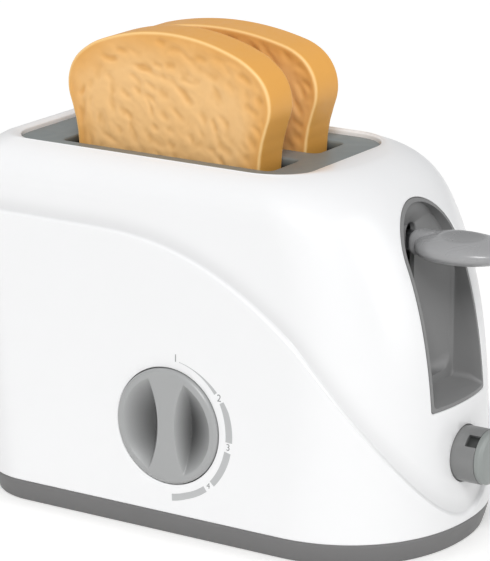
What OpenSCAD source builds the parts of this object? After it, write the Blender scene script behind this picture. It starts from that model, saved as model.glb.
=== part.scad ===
// Child's pop-up toaster: a moulded housing with a swooping lower panel, two slots with toy
// slices, a sprung lever on the right-hand end, a clicking dial and a release button.
// Millimetres, +Z up. The lever is at +X, the dial faces -Y, and z = 0 is the table.

/* [Housing] */
// Length of the housing from its plain end to its lever end
body_len = 197; // [188:1:240]
// Width of the housing at its lower edge
body_w = 109; // [104:1:132]
// Height of the top rim above the table
body_h = 146; // [140:1:176]
// How far each side leans in on its way up
side_lean = 2.5; // [0:0.5:4]
// Radius that rolls each side over into the top
side_roll = 17; // [14:0.5:18]
// Radius that rolls the plain end over into the top
tail_roll = 9.6; // [7:0.1:9.9]
// How far the top stops short of the lever end, which the shoulder takes up
shoulder_len = 51.6; // [46:0.2:53]
// Height where the lever end starts to curve back into the shoulder
shoulder_z = 22; // [14:1:34]
// Fullness of the shoulder along its height
shoulder_rise = 2.3; // [2:0.1:2.8]
// Fullness of the shoulder along its length
shoulder_run = 2.2; // [2:0.1:2.6]
// Length of the rounded lever end in plan, at the bottom
end_curve_low = 50; // [40:1:54]
// Length of the rounded lever end in plan, at the top
end_curve_high = 33; // [26:1:44]
// Corner radius of the plain end at the bottom
tail_corner_low = 26; // [16:1:34]
// Corner radius of the plain end at the top
tail_corner_high = 12; // [8:1:20]
// Wall thickness
wall = 2.5; // [2:0.1:3]

/* [Swoosh panel] */
// How far the lower panel stands proud
step_out = 1.5; // [0.8:0.1:2]
// Height of the bevel along its edge
step_rise = 1.5; // [0.8:0.1:2.5]
// Height of the edge on the plain half
crease_high = 117.4; // [108:0.2:124]
// Height of the edge under the lever end
crease_low = 11.2; // [10.6:0.2:16]
// Distance from the start of the straight side to where the edge starts to fall
crease_start = 38; // [25:1:50]
// Distance round the housing over which it falls
crease_run = 167; // [150:1:185]
// How late the fall sets in
crease_delay = 1.43; // [1:0.01:1.8]

/* [Base] */
// Height of the housing's lower edge above the table
skirt_z = 9; // [8:0.5:12]
// Thickness of the floor
floor_t = 3.2; // [2.8:0.1:4]
// How far the skirt draws in towards the table
skirt_draft = 2; // [0.5:0.1:3]
// Size of the rounded edge under the skirt
skirt_round = 0.9; // [0.4:0.1:1.4]

/* [Top plate] */
// Margin between the plate and the plain end
plate_margin_tail = 9.4; // [9:0.1:12]
// Margin between the plate and the lever end
plate_margin_lever = 55.2; // [52:0.1:60]
// Width of the plate
plate_w = 79; // [76:0.5:84]
// Corner radius of the plate
plate_r = 16.8; // [10:0.1:20]
// Depth of the plate's face below the top rim
plate_sink = 3; // [2:0.1:4]
// Thickness of the plate
plate_t = 3; // [2.4:0.1:3.6]
// Width of the ledge that carries the plate
ledge_w = 3; // [2.4:0.1:4]

/* [Slots and slices] */
// Length of each slot
slot_len = 97; // [96.5:0.5:100]
// Width of each slot
slot_w = 21.5; // [20:0.5:24]
// Distance between the two slots' centre lines
slot_pitch = 33.8; // [30:0.2:36]
// Distance from the plate's plain end to the slots
slot_margin = 19.1; // [14:0.1:24]
// Depth of the chute under each slot, below the plate's face
chute_depth = 42; // [30:1:42]
// Thickness of a slice
slice_t = 17.3; // [14:0.1:18]
// Height of the front slice
slice_h = 91; // [80:0.5:95]
// How much lower the rear slice's crown is than the front one's
rear_crown_drop = 3; // [0:0.5:5]
// Width of a slice across its foot
slice_foot_w = 84; // [76:0.5:90]
// Width of a slice across its crown
slice_crown_w = 94; // [88:0.5:95]
// Radius on the edges of a slice
slice_edge_r = 1.4; // [0.8:0.1:3]

/* [Lift] */
// Travel of the slices and the lever
lift_travel = 48; // [40:1:48]
// Height of the slices' feet above the table when they are up
rest_z = 99.5; // [97:0.5:100]
// Radius of the two guide rods
rod_r = 2; // [1.5:0.1:2.5]
// Distance between the two guide rods
rod_pitch = 26; // [24:0.5:30]
// Distance from the lever end to the guide rods
rod_margin = 62.5; // [61:0.5:64]
// Width of each bread rest
rest_w = 12; // [9:0.5:15]
// Thickness of each bread rest
rest_t = 3; // [2:0.1:4]
// Radius of the wire of the lift springs
spring_wire_r = 0.45; // [0.3:0.05:0.6]
// Turns of each lift spring
spring_turns = 12; // [8:1:16]

/* [Lever recess] */
// Width of the opening
recess_w = 40.8; // [36:0.2:44]
// Height of the opening's floor above the table
recess_z = 56.3; // [54:0.1:60]
// Height of the centre of its arched top
recess_arch_z = 112.6; // [108:0.1:114]
// Wall of the grey liner
liner_t = 1.4; // [1:0.1:2]
// Distance from the lever end to the back of the liner
liner_margin = 28; // [26:0.5:30]
// Width of the slot that the arm runs in
arm_slot_w = 7; // [6:0.1:9]

/* [Lever] */
// Length of the paddle
paddle_len = 39; // [34:0.5:42]
// Width of the paddle
paddle_w = 30; // [24:0.5:32]
// Thickness of the paddle
paddle_t = 10.5; // [8:0.1:12]
// How far the paddle stands out past the lever end
paddle_out = 17.5; // [12:0.5:20]
// Height of the paddle's middle above the slices' feet
paddle_rise = 17; // [16.5:0.5:19]
// Thickness of the steel arm
arm_t = 4.6; // [3:0.1:5]
// Height of the steel arm
arm_h = 7; // [6:0.5:7.5]

/* [Dial] */
// Distance of the dial from the middle of the housing, towards the lever
dial_x = -1.7; // [-10:0.1:10]
// Height of the dial's centre
dial_z = 44.2; // [42:0.1:50]
// Radius of the knob
knob_r = 23; // [20:0.1:25]
// How far the knob stands proud of the panel
knob_out = 1.3; // [1:0.1:6]
// Depth of the well that the knob sits in
well_depth = 6; // [3:0.1:7]
// Radius of the shaft moulded on the knob
shaft_r = 3.9; // [3:0.1:4.5]
// Number of clicks in a full turn
click_count = 24; // [12:4:36]
// Radius of the click wheel
click_r = 12; // [10:0.5:14]

/* [Button] */
// Height of the button's centre
button_z = 36; // [33:0.5:38]
// Radius of the button's barrel
button_r = 10.85; // [9:0.05:12]
// How far the barrel stands out
barrel_out = 9; // [8:0.5:12]
// Thickness of the cap on it
cap_t = 3; // [2:0.1:4]
// Travel of the button
button_travel = 4; // [3:0.5:4]
// Radius of the push rod
push_r = 3; // [2.5:0.1:3.5]

/* [Latch] */
// Height of the latch's pivot
pivot_z = 49; // [47:0.5:50]
// Distance from the guide rods to the latch's pivot
pivot_gap = 17; // [16:0.5:18]
// Radius of the latch's pin
pin_r = 1.5; // [1.2:0.1:2]
// Width of the latch
latch_w = 8; // [6:0.5:10]

/* [Fits] */
// Running clearance round a shaft or a rod, radial
run_gap = 0.08; // [0.04:0.01:0.1]
// Clearance between seated pieces
seat_gap = 0.2; // [0.1:0.05:0.3]
// Clearance between pieces that slide past each other
slide_gap = 0.35; // [0.3:0.05:0.5]

/* [Fasteners] */
// Radius of the screws' cores
screw_r = 1.35; // [1:0.05:1.5]
// Radius of the screws' heads
head_r = 2.8; // [2.4:0.1:3]
// Height of the screws' heads
head_h = 1.6; // [1.2:0.1:2]

/* [Hidden] */
$fn = 64;
eps = 0.01;

// Colours, as the object shows them
white = [0.96, 0.96, 0.97];
plate_grey = [0.47, 0.50, 0.50];
base_grey = [0.42, 0.42, 0.42];
part_grey = [0.60, 0.61, 0.61];
liner_grey = [0.52, 0.53, 0.53];
steel = [0.72, 0.73, 0.75];
inner_grey = [0.78, 0.78, 0.76];
crust = [0.88, 0.66, 0.36];

// Places worked out from the driving sizes
x_end = body_len / 2;
half_w = body_w / 2;
top_z = body_h;
plate_left = -x_end + plate_margin_tail;
plate_right = x_end - plate_margin_lever;
plate_mid = (plate_left + plate_right) / 2;
plate_len = plate_right - plate_left;
plate_top = top_z - plate_sink;
plate_low = plate_top - plate_t;
slot_x = plate_left + slot_margin + slot_len / 2;
chute_wall = 1.3;
chute_low = plate_top - chute_depth;
rod_x = x_end - rod_margin;
block_back = 5.5;
block_front = 6;
block_low = rest_z - 3.5;
block_high = rest_z + 20.5;
arm_z = rest_z + paddle_rise;
liner_x = x_end - liner_margin;
floor_top = floor_t;
head_well = head_h + 0.3;

function mix(a, b, t) = a + (b - a) * t;
function clamp(v, low, high) = min(high, max(low, v));
function middle(points) = [for (k = [0 : 2]) [for (p = points) 1] * [for (p = points) p[k]] / len(points)];
function up_share(z) = (z - skirt_z) / (top_z - skirt_z);
function roll(z, r) = z > top_z - r ? r - sqrt(max(0, r * r - pow(z - top_z + r, 2))) : 0;
function half_width(z) = half_w - side_lean * up_share(z) - roll(z, side_roll);
function tail_x(z) = -x_end + roll(z, tail_roll);
function shoulder_share(z) = clamp((z - shoulder_z) / (top_z - shoulder_z), 0, 1);
function lever_x(z) = x_end - shoulder_len
    + shoulder_len * pow(1 - pow(shoulder_share(z), shoulder_rise), 1 / shoulder_run);
function end_curve(z) = mix(end_curve_low, end_curve_high, up_share(z));
function tail_corner(z) = mix(tail_corner_low, tail_corner_high, up_share(z));
end_power_low = 2.15;
end_power_high = 2.3;
function end_power(z) = mix(end_power_low, end_power_high, up_share(z));

// Where the lever end's surface lies at a place across it and a height
function end_surface(y, z) = lever_x(z) - end_curve(z)
    + end_curve(z) * pow(1 - pow(abs(y) / half_width(z), end_power(z)), 1 / end_power(z));

// A ring round the housing at one height, moved outwards by off. Its points start on the
// front side at the plain end and run to the lever end, along the back and round the tail.
function ring(z, off, sides, ends, corners, tails) =
    let (
        w = half_width(z) + off,
        xl = tail_x(z) - off,
        xr = lever_x(z) + off,
        a = end_curve(z) + off,
        rt = tail_corner(z) + off,
        p = 2 / end_power(z)
    )
    [
        for (i = [0 : sides - 1]) [mix(xl + rt, xr - a, i / sides), -w, z],
        for (i = [0 : 2 * ends - 1])
            let (t = -90 + 90 * i / ends)
            [xr - a + a * pow(abs(cos(t)), p), w * sign(sin(t)) * pow(abs(sin(t)), p), z],
        for (i = [0 : sides - 1]) [mix(xr - a, xl + rt, i / sides), w, z],
        for (i = [0 : corners - 1])
            let (t = 90 + 90 * i / corners) [xl + rt + rt * cos(t), w - rt + rt * sin(t), z],
        for (i = [0 : tails - 1]) [xl, mix(w - rt, -w + rt, i / tails), z],
        for (i = [0 : corners - 1])
            let (t = 180 + 90 * i / corners) [xl + rt + rt * cos(t), -w + rt + rt * sin(t), z]
    ];

// The plate's outline with its points matched to those of a ring
function plate_ring(z, off, sides, ends, corners, tails) =
    let (
        w = plate_w / 2 + off,
        xl = plate_left - off,
        xr = plate_right + off,
        r = plate_r + off,
        arc = 0.6
    )
    [
        for (i = [0 : sides - 1]) [mix(xl + r, xr - r, i / sides), -w, z],
        for (i = [0 : 2 * ends - 1])
            let (
                f = abs(i / ends - 1),
                s = i < ends ? -1 : 1,
                t = 90 * min(1, (1 - f) / arc)
            )
            f > 1 - arc
                ? [xr - r + r * sin(t), s * (w - r + r * cos(t)), z]
                : [xr, s * (w - r) * f / (1 - arc), z],
        for (i = [0 : sides - 1]) [mix(xr - r, xl + r, i / sides), w, z],
        for (i = [0 : corners - 1])
            let (t = 90 + 90 * i / corners) [xl + r + r * cos(t), w - r + r * sin(t), z],
        for (i = [0 : tails - 1]) [xl, mix(w - r, -w + r, i / tails), z],
        for (i = [0 : corners - 1])
            let (t = 180 + 90 * i / corners) [xl + r + r * cos(t), -w + r + r * sin(t), z]
    ];

// Steps round the housing, and those round the plainer base
sides_n = 14;
ends_n = 14;
corners_n = 5;
tails_n = 4;
cols = 2 * (sides_n + ends_n + corners_n) + tails_n;
low_ring = ring(skirt_z, 0, sides_n, ends_n, corners_n, tails_n);
function along(i) = i <= 0 ? 0 : along(i - 1) + norm(low_ring[i] - low_ring[i - 1]);
function mirrored(i) = i <= sides_n + ends_n ? i : 2 * (sides_n + ends_n) - i;

// Height of the swoosh panel's edge at each step
function ease(t) = t * t * (3 - 2 * t);
function crease_at(i) =
    let (s = mirrored(i) < 0 ? 0 : along(mirrored(i)))
    mix(crease_high, crease_low, ease(pow(clamp((s - crease_start) / crease_run, 0, 1), crease_delay)));
creases = [for (i = [0 : cols - 1]) crease_at(i)];

// Joins rings into one closed skin. The last ring closes onto the first when wrap is true,
// and otherwise the first and the last ring are filled in from their middles.
module loft(rings, wrap) {
    n = len(rings[0]);
    m = len(rings);
    points = [for (r = rings) for (p = r) p];
    last = wrap ? m - 1 : m - 2;
    quads = [
        for (i = [0 : last]) for (j = [0 : n - 1])
            let (a = i * n, b = ((i + 1) % m) * n, k = (j + 1) % n)
            each [[a + j, b + j, a + k], [a + k, b + j, b + k]]
    ];
    middles = wrap ? [] : [middle(rings[0]), middle(rings[m - 1])];
    caps = wrap ? [] : [
        for (j = [0 : n - 1])
            let (k = (j + 1) % n, b = (m - 1) * n)
            each [[j, k, m * n], [b + k, b + j, m * n + 1]]
    ];
    polyhedron(points = concat(points, middles), faces = concat(quads, caps), convexity = 8);
}

// A flat rounded rectangle
module round_rect(l, w, r) {
    square([l - 2 * r, w], center = true);
    square([l, w - 2 * r], center = true);
    for (x = [-1, 1]) for (y = [-1, 1])
        translate([x * (l / 2 - r), y * (w / 2 - r)]) circle(r);
}

// A cylinder that lies along X or Y from one place to another
module bar_x(x0, x1, y, z, r) {
    translate([x0, y, z]) rotate([0, 90, 0]) cylinder(h = x1 - x0, r = r);
}

module bar_y(y0, y1, x, z, r) {
    translate([x, y0, z]) rotate([-90, 0, 0]) cylinder(h = y1 - y0, r = r);
}

module box(low, high) {
    translate(low) cube(high - low);
}

// A pan-head screw that points up from z, with its head below
module screw_up(x, y, z, length) {
    translate([x, y, z - head_h]) cylinder(h = head_h, r = head_r);
    translate([x, y, z - head_h / 2]) cylinder(h = length + head_h / 2, r = screw_r);
}

// A helical spring along Z
module coil(x, y, z0, z1, r, wire, turns) {
    steps = 8;
    rim = 5;
    n = steps * turns;
    rings = [
        for (i = [0 : n])
            let (t = 360 * i / steps, rise = mix(z0 + wire, z1 - wire, i / n))
            [for (k = [0 : rim - 1])
                let (q = 360 * k / rim, d = r + wire * cos(q))
                [x + d * cos(t), y + d * sin(t), rise - wire * sin(q)]]
    ];
    loft(rings, false);
}

// ---- Housing ----

low_rows = 5;
up_rows = 8;
roll_angles = [22, 42, 58, 69];
rim_drop = 1.4;
in_rows = 7;
seat_z = plate_low;
ledge_t = 2.4;

function grid_ring(z, off) = ring(z, off, sides_n, ends_n, corners_n, tails_n);
function hole_ring(z, off) = plate_ring(z, off, sides_n, ends_n, corners_n, tails_n);

// A ring whose height differs from step to step
function sloped_ring(heights, off) = [for (j = [0 : cols - 1]) grid_ring(heights[j], off)[j]];
function low_heights(t) = [for (c = creases) mix(skirt_z, c, t)];
function up_heights(t) = [for (c = creases) mix(c + step_rise, top_z - side_roll, t)];
function late(t) = 1 - pow(1 - t, 1.25);

// The crest of the rim, halfway from the last row of the roll to the plate's opening
rim_crest = 0.45;
function crest_ring() =
    let (
        roll_row = grid_ring(top_z - side_roll * (1 - sin(roll_angles[len(roll_angles) - 1])), 0),
        edge = hole_ring(top_z - rim_drop, seat_gap)
    )
    [for (j = [0 : cols - 1]) mix(roll_row[j], edge[j], 0.5) + [0, 0, rim_crest]];

module housing_shell() {
    inner_top = seat_z - ledge_t;
    loft([
        for (i = [0 : low_rows]) sloped_ring(low_heights(i / low_rows), step_out),
        for (i = [0 : up_rows]) sloped_ring(up_heights(late(i / up_rows)), 0),
        for (t = roll_angles) grid_ring(top_z - side_roll * (1 - sin(t)), 0),
        crest_ring(),
        hole_ring(top_z - rim_drop, seat_gap),
        hole_ring(seat_z, seat_gap),
        hole_ring(seat_z, -ledge_w),
        hole_ring(inner_top, -ledge_w),
        for (i = [0 : in_rows]) grid_ring(mix(inner_top, skirt_z, pow(i / in_rows, 1.3)), -wall)
    ], true);
}

// Places of the four bosses that the base is screwed to
boss_r = 5;
boss_top = 44;
boss_y = half_w - wall - boss_r + 0.6;
boss_xs = [-x_end + tail_corner_low + 2, x_end - end_curve_low - 6];
plate_post_r = 3;
plate_posts = [
    for (x = [plate_left + 8.5, plate_right - 8.5]) for (y = [-1, 1]) [x, y * (plate_w / 2 - 8.5)]
];
ear_r = 5.5;

// Places of the two posts that the lever channel is screwed to
liner_post_y = recess_w / 2 + 4.6;
liner_post_z = recess_z + 26;
liner_post_r = 3.4;
ear_t = 2.4;

// The front panel's surface at the dial, and the pieces stacked behind it
panel_y = -(half_width(dial_z) + step_out);
well_y = panel_y + well_depth;
well_wall = 1.9;
bracket_y = well_y + well_wall + 2.1;
bracket_t = 1.6;
bracket_pitch = 40;
post_r = 3.2;

module recess_prism(x0, x1, grow) {
    w = recess_w / 2 + grow;
    box([x0, -w, recess_z - grow], [x1, w, recess_arch_z]);
    bar_x(x0, x1, 0, recess_arch_z, w);
}

module housing() {
    wall_x = end_surface(0, button_z);
    color(white) difference() {
        union() {
            housing_shell();
            for (x = boss_xs) for (y = [-boss_y, boss_y])
                translate([x, y, skirt_z + seat_gap]) cylinder(h = boss_top - skirt_z, r = boss_r);
            for (p = plate_posts)
                translate([p[0], p[1], seat_z - ledge_t]) cylinder(h = ledge_t, r = ear_r);
            for (y = [-1, 1])
                bar_x(liner_x + ear_t, end_surface(liner_post_y, liner_post_z) - wall / 2,
                    y * liner_post_y, liner_post_z, liner_post_r);
            bar_y(panel_y + 1, well_y + well_wall, dial_x, dial_z, knob_r + 2.3);
            for (x = [-1, 1]) for (z = [-1, 1])
                bar_y(panel_y + 1.4, bracket_y, dial_x + x * bracket_pitch / 2,
                    dial_z + z * bracket_pitch / 2, post_r);
            bar_x(wall_x - wall - 2, wall_x - wall / 2, 0, button_z, button_r + 3);
        }
        bar_y(panel_y - 5, well_y, dial_x, dial_z, knob_r + 0.4);
        bar_y(panel_y - 5, well_y + well_wall + 1, dial_x, dial_z, shaft_r + slide_gap);
        recess_prism(liner_x - 2, x_end + 5, 0);
        bar_x(wall_x - wall - 3, x_end + 5, 0, button_z, button_r + slide_gap);
        for (x = boss_xs) for (y = [-boss_y, boss_y])
            translate([x, y, skirt_z - 1]) cylinder(h = 16, r = screw_r + seat_gap / 4);
        for (p = plate_posts)
            translate([p[0], p[1], seat_z - ledge_t - 1])
                cylinder(h = ledge_t + 2, r = plate_post_r + seat_gap);
        for (y = [-1, 1])
            bar_x(liner_x, liner_x + 11, y * liner_post_y, liner_post_z, screw_r + seat_gap / 4);
        for (x = [-1, 1]) for (z = [-1, 1])
            bar_y(bracket_y - 4.5, bracket_y + 1, dial_x + x * bracket_pitch / 2,
                dial_z + z * bracket_pitch / 2, screw_r + seat_gap / 4);
    }
}

// ---- Base ----

base_sides = 8;
base_ends = 12;
base_corners = 4;
base_tails = 2;
lip_h = 3.5;
lip_t = 1.5;
rod_seat_z = floor_top + 2;
rod_boss_h = 12;
frame_foot_z = floor_top;
frame_screw_xs = [pivot_gap - 8.5, pivot_gap + 8.5];
frame_screw_y = 11;

function base_ring(z, off) = ring(z, off, base_sides, base_ends, base_corners, base_tails);

module base() {
    out = step_out - 0.3;
    color(base_grey) difference() {
        union() {
            loft([
                base_ring(0, out - skirt_draft - skirt_round),
                base_ring(skirt_round * 0.3, out - skirt_draft - skirt_round * 0.3),
                base_ring(skirt_round, out - skirt_draft),
                base_ring(skirt_z - 1.5, out - skirt_draft * 0.1),
                base_ring(skirt_z - seat_gap / 2, out),
                base_ring(skirt_z - seat_gap / 2, -wall - slide_gap),
                base_ring(skirt_z + lip_h, -wall - slide_gap),
                base_ring(skirt_z + lip_h, -wall - slide_gap - lip_t),
                base_ring(floor_top, -wall - slide_gap - lip_t)
            ], false);
            for (x = boss_xs) for (y = [-boss_y, boss_y])
                translate([x, y, floor_top - 1]) cylinder(h = skirt_z - floor_top + 1, r = boss_r);
            for (y = [-1, 1])
                translate([rod_x, y * rod_pitch / 2, floor_top - 1])
                    cylinder(h = rod_boss_h - floor_top + 1, r = rod_r + 2.6);
        }
        for (x = boss_xs) for (y = [-boss_y, boss_y]) {
            translate([x, y, skirt_z]) cylinder(h = lip_h + 5, r = boss_r + slide_gap);
            translate([x, y, -1]) cylinder(h = 30, r = screw_r + seat_gap);
            translate([x, y, -1]) cylinder(h = 1 + head_well, r = head_r + slide_gap);
        }
        for (y = [-1, 1])
            translate([rod_x, y * rod_pitch / 2, rod_seat_z]) cylinder(h = 30, r = rod_r + run_gap / 2);
        for (x = frame_screw_xs) for (y = [-1, 1])
            translate([rod_x + x, y * frame_screw_y, -1]) {
                cylinder(h = 30, r = screw_r + seat_gap);
                cylinder(h = 1 + head_well, r = head_r + slide_gap);
            }
    }
}

// ---- Top plate ----

rod_cap_low = block_high + 0.4;
rod_top = plate_low - 1.5;

module top_plate() {
    color(plate_grey) difference() {
        union() {
            translate([plate_mid, 0, plate_low]) linear_extrude(plate_t)
                round_rect(plate_len, plate_w, plate_r);
            for (y = [-1, 1])
                translate([slot_x, y * slot_pitch / 2, chute_low])
                    linear_extrude(plate_low - chute_low + 1)
                        round_rect(slot_len + 2 * chute_wall, slot_w + 2 * chute_wall, 3 + chute_wall);
            for (p = plate_posts)
                translate([p[0], p[1], seat_z - ledge_t - 0.2])
                    cylinder(h = ledge_t + 0.2 + 1, r = plate_post_r);
            for (y = [-1, 1])
                translate([rod_x, y * rod_pitch / 2, rod_cap_low])
                    cylinder(h = plate_low - rod_cap_low + 1, r = rod_r + 2);
        }
        for (y = [-1, 1]) translate([slot_x, y * slot_pitch / 2, 0]) {
            translate([0, 0, chute_low - 1]) linear_extrude(chute_depth + 5)
                round_rect(slot_len, slot_w, 3);
            translate([0, 0, plate_top - 0.6]) linear_extrude(5)
                round_rect(slot_len + 1.4, slot_w + 1.4, 3.7);
        }
        for (p = plate_posts)
            translate([p[0], p[1], 0]) cylinder(h = plate_top - 1.2, r = screw_r + seat_gap / 4);
        for (y = [-1, 1])
            translate([rod_x, y * rod_pitch / 2, 0])
                cylinder(h = rod_top + seat_gap, r = rod_r + run_gap / 2);
    }
}

// ---- Lever channel ----

// An outline across the recess, with an arched top and rounded lower corners
function arch(h, low, high, r) = [
    for (i = [0 : 3]) [mix(-h + r, h - r, i / 4), low],
    for (i = [0 : 3]) let (t = -90 + 90 * i / 4) [h - r + r * cos(t), low + r + r * sin(t)],
    for (i = [0 : 5]) [h, mix(low + r, high, i / 6)],
    for (i = [0 : 19]) let (t = 180 * i / 20) [h * cos(t), high + h * sin(t)],
    for (i = [0 : 5]) [-h, mix(high, low + r, i / 6)],
    for (i = [0 : 3]) let (t = 180 + 90 * i / 4) [-h + r + r * cos(t), low + r + r * sin(t)]
];
function arch_at(x, outline) = [for (p = outline) [x, p[0], p[1]]];
function arch_on_skin(sink, outline) =
    [for (p = outline) [end_surface(p[0], p[1]) - sink, p[0], p[1]]];

// The scoop narrows from the opening to the arm's slot in steps. Each step stays behind the skin,
// which leans back over the top of the recess.
scoop_lip = 5;
scoop_depth = 10.5;
scoop_top_x = liner_x + 3.1;
function scoop_ring(x, back, outline) =
    [for (p = outline) [min(x, max(end_surface(p[0], p[1]) - scoop_lip, scoop_top_x) - back), p[0], p[1]]];
outer_half = recess_w / 2 - seat_gap;
slot_half = arm_slot_w / 2;
arm_slot_low = arm_z - lift_travel - arm_h / 2 - 2;
arm_slot_high = arm_z + arm_h / 2;
scoop_floor = recess_z + 3.3;

module lever_channel() {
    outside = arch(outer_half, recess_z + seat_gap, recess_arch_z, 1);
    slot = arch(slot_half, arm_slot_low, arm_slot_high, 1.5);
    mouth = arch(outer_half - liner_t, recess_z + seat_gap + liner_t, recess_arch_z, 1.6);
    inside = arch(outer_half - liner_t - 0.5, scoop_floor, recess_arch_z, 2.2);
    shelf = arch(outer_half - liner_t - 1.8, scoop_floor + 3.3, recess_arch_z, 7);
    color(liner_grey) difference() {
        union() {
            loft([
                arch_on_skin(seat_gap, mouth),
                scoop_ring(x_end, 0, inside),
                scoop_ring(liner_x + scoop_depth + 1, 0.15, inside),
                scoop_ring(liner_x + scoop_depth, 0.3, shelf),
                arch_at(liner_x + liner_t + 0.6, slot),
                arch_at(liner_x, slot),
                arch_at(liner_x, outside),
                arch_on_skin(seat_gap, outside)
            ], true);
            for (y = [-1, 1])
                translate([liner_x, 0, 0]) hull() {
                    bar_x(0, ear_t - seat_gap, y * liner_post_y, liner_post_z, liner_post_r);
                    bar_x(0, ear_t - seat_gap, y * (outer_half - 1), liner_post_z, liner_post_r + 2);
                }
        }
        for (y = [-1, 1])
            bar_x(liner_x - 1, liner_x + ear_t + 1, y * liner_post_y, liner_post_z, screw_r + seat_gap);
    }
}

// ---- Lift ----

module guide_rods() {
    color(steel) for (y = [-1, 1])
        translate([rod_x, y * rod_pitch / 2, rod_seat_z]) cylinder(h = rod_top - rod_seat_z, r = rod_r);
}

spring_r = rod_r + 1.7;

module lift_springs() {
    color(steel) for (y = [-1, 1])
        coil(rod_x, y * rod_pitch / 2, rod_boss_h, block_low, spring_r, spring_wire_r, spring_turns);
}

block_half = rod_pitch / 2 + 5;
rest_left = slot_x - slice_foot_w / 2 + 3;
lug_low = block_low + 8;
lug_high = lug_low + 3;
lug_out = 4.2;

module carriage() {
    color(inner_grey) difference() {
        union() {
            box([rod_x - block_back, -block_half, block_low], [rod_x + block_front, block_half, block_high]);
            box([rod_x + block_front - 1, -3.5, lug_low], [rod_x + block_front + lug_out, 3.5, lug_high]);
            for (y = [-1, 1]) translate([0, y * slot_pitch / 2, 0]) {
                box([rest_left, -rest_w / 2, rest_z - rest_t], [rod_x - block_back + 1, rest_w / 2, rest_z]);
                box([rest_left + 4, -1, rest_z - rest_t - 5], [rod_x - block_back + 1, 1, rest_z - rest_t + 1]);
                for (x = [0.25, 0.75])
                    translate([rest_left + slice_foot_w * x, 0, rest_z - rest_t])
                        linear_extrude(rest_t) round_rect(5, rest_w + 5, 2);
            }
        }
        for (y = [-1, 1])
            translate([rod_x, y * rod_pitch / 2, 0]) cylinder(h = top_z, r = rod_r + run_gap);
        box([rod_x - 1.5, -block_half + 9.5, block_low + 12],
            [rod_x + block_front - 3, block_half - 9.5, block_high + 1]);
        for (y = [-1, 1])
            bar_x(rod_x - 1, rod_x + block_front + 1, y * arm_screw_y, arm_z, screw_r + seat_gap / 4);
    }
}

// The arm is a bent strip: a foot screwed to the block and a blade through the slot.
arm_foot_t = 1.5;
arm_screw_y = 6.2;
arm_start = rod_x + block_front;
paddle_mid = x_end + paddle_out - paddle_len / 2;
arm_tip = paddle_mid - 3;

module lever_arm() {
    color(steel) difference() {
        union() {
            box([arm_start, -arm_screw_y - 3.4, arm_z - arm_h / 2],
                [arm_start + arm_foot_t, arm_screw_y + 3.4, arm_z + arm_h / 2]);
            box([arm_start, -arm_t / 2, arm_z - arm_h / 2], [arm_tip, arm_t / 2, arm_z + arm_h / 2]);
        }
        for (y = [-1, 1])
            bar_x(arm_start - 1, arm_start + arm_foot_t + 1, y * arm_screw_y, arm_z, screw_r + seat_gap);
        translate([arm_tip - 6, 0, arm_z - arm_h / 2 - 1]) cylinder(h = 7, r = screw_r + seat_gap / 4);
    }
}

module arm_screws() {
    color(steel) for (y = [-1, 1]) {
        bar_x(arm_start - 4, arm_start + arm_foot_t + eps, y * arm_screw_y, arm_z, screw_r);
        bar_x(arm_start + arm_foot_t, arm_start + arm_foot_t + head_h, y * arm_screw_y, arm_z, head_r - 0.3);
    }
}

// An upright ring round the arm, whose corners get squarer as the power falls
function arm_ring(x, b, h, power) = [
    for (k = [0 : 27])
        let (q = 360 * k / 28)
        [x, b * sign(cos(q)) * pow(abs(cos(q)), power), arm_z + h * sign(sin(q)) * pow(abs(sin(q)), power)]
];

// The paddle is a flattened egg with a thumb dish on top. A neck at its blunt end meets the arm
// in the recess.
neck_half = 5.6;
neck_rise = 5;

module lever_handle() {
    m = 14;
    half = paddle_len / 2;
    neck_x = max(paddle_mid - half - 2.7, liner_x + 3.8);
    color(part_grey) difference() {
        union() {
            loft([
                for (i = [0 : m])
                    let (
                        t = 4 + 172 * i / m,
                        x = -half * cos(t),
                        b = paddle_w / 2 * pow(sin(t), 0.82) * (1 - 0.1 * x / half),
                        h = paddle_t / 2 * pow(sin(t), 0.7) * (1 - 0.12 * x / half)
                    )
                    arm_ring(paddle_mid + x, b, h, 0.9)
            ], false);
            loft([
                arm_ring(neck_x, neck_half - 1, neck_rise - 0.7, 0.7),
                arm_ring(neck_x + 0.6, neck_half - 0.4, neck_rise - 0.2, 0.7),
                arm_ring(neck_x + 2.7, neck_half, neck_rise, 0.7),
                arm_ring(neck_x + 9.7, neck_half, neck_rise, 0.7)
            ], false);
        }
        translate([paddle_mid + 4, 0, arm_z + paddle_t / 2 + 25.2]) sphere(27, $fn = 96);
        box([0, -arm_t / 2 - seat_gap, arm_z - arm_h / 2 - seat_gap],
            [arm_tip + seat_gap, arm_t / 2 + seat_gap, arm_z + arm_h / 2 + seat_gap]);
        translate([arm_tip - 6, 0, 0]) cylinder(h = arm_z, r = screw_r + seat_gap);
        translate([arm_tip - 6, 0, 0]) cylinder(h = arm_z - arm_h / 2 - 0.9, r = head_r - 0.2);
    }
}

module handle_screw() {
    z = arm_z - arm_h / 2;
    color(steel) translate([arm_tip - 6, 0, 0]) {
        translate([0, 0, z - 0.9 - head_h / 4]) cylinder(h = 6.5, r = screw_r);
        translate([0, 0, z - 0.9 - head_h / 2]) cylinder(h = head_h / 2, r = head_r - 0.5);
    }
}

// ---- Slices ----

// The outline of a slice: straight flanks that widen upwards, a shoulder bulge and a low crown,
// which can be lower by drop
neck_share = 0.62;
bulge_r = 17;
bulge_drop = 7.5;
bulge_rise = 15.5;

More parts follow.
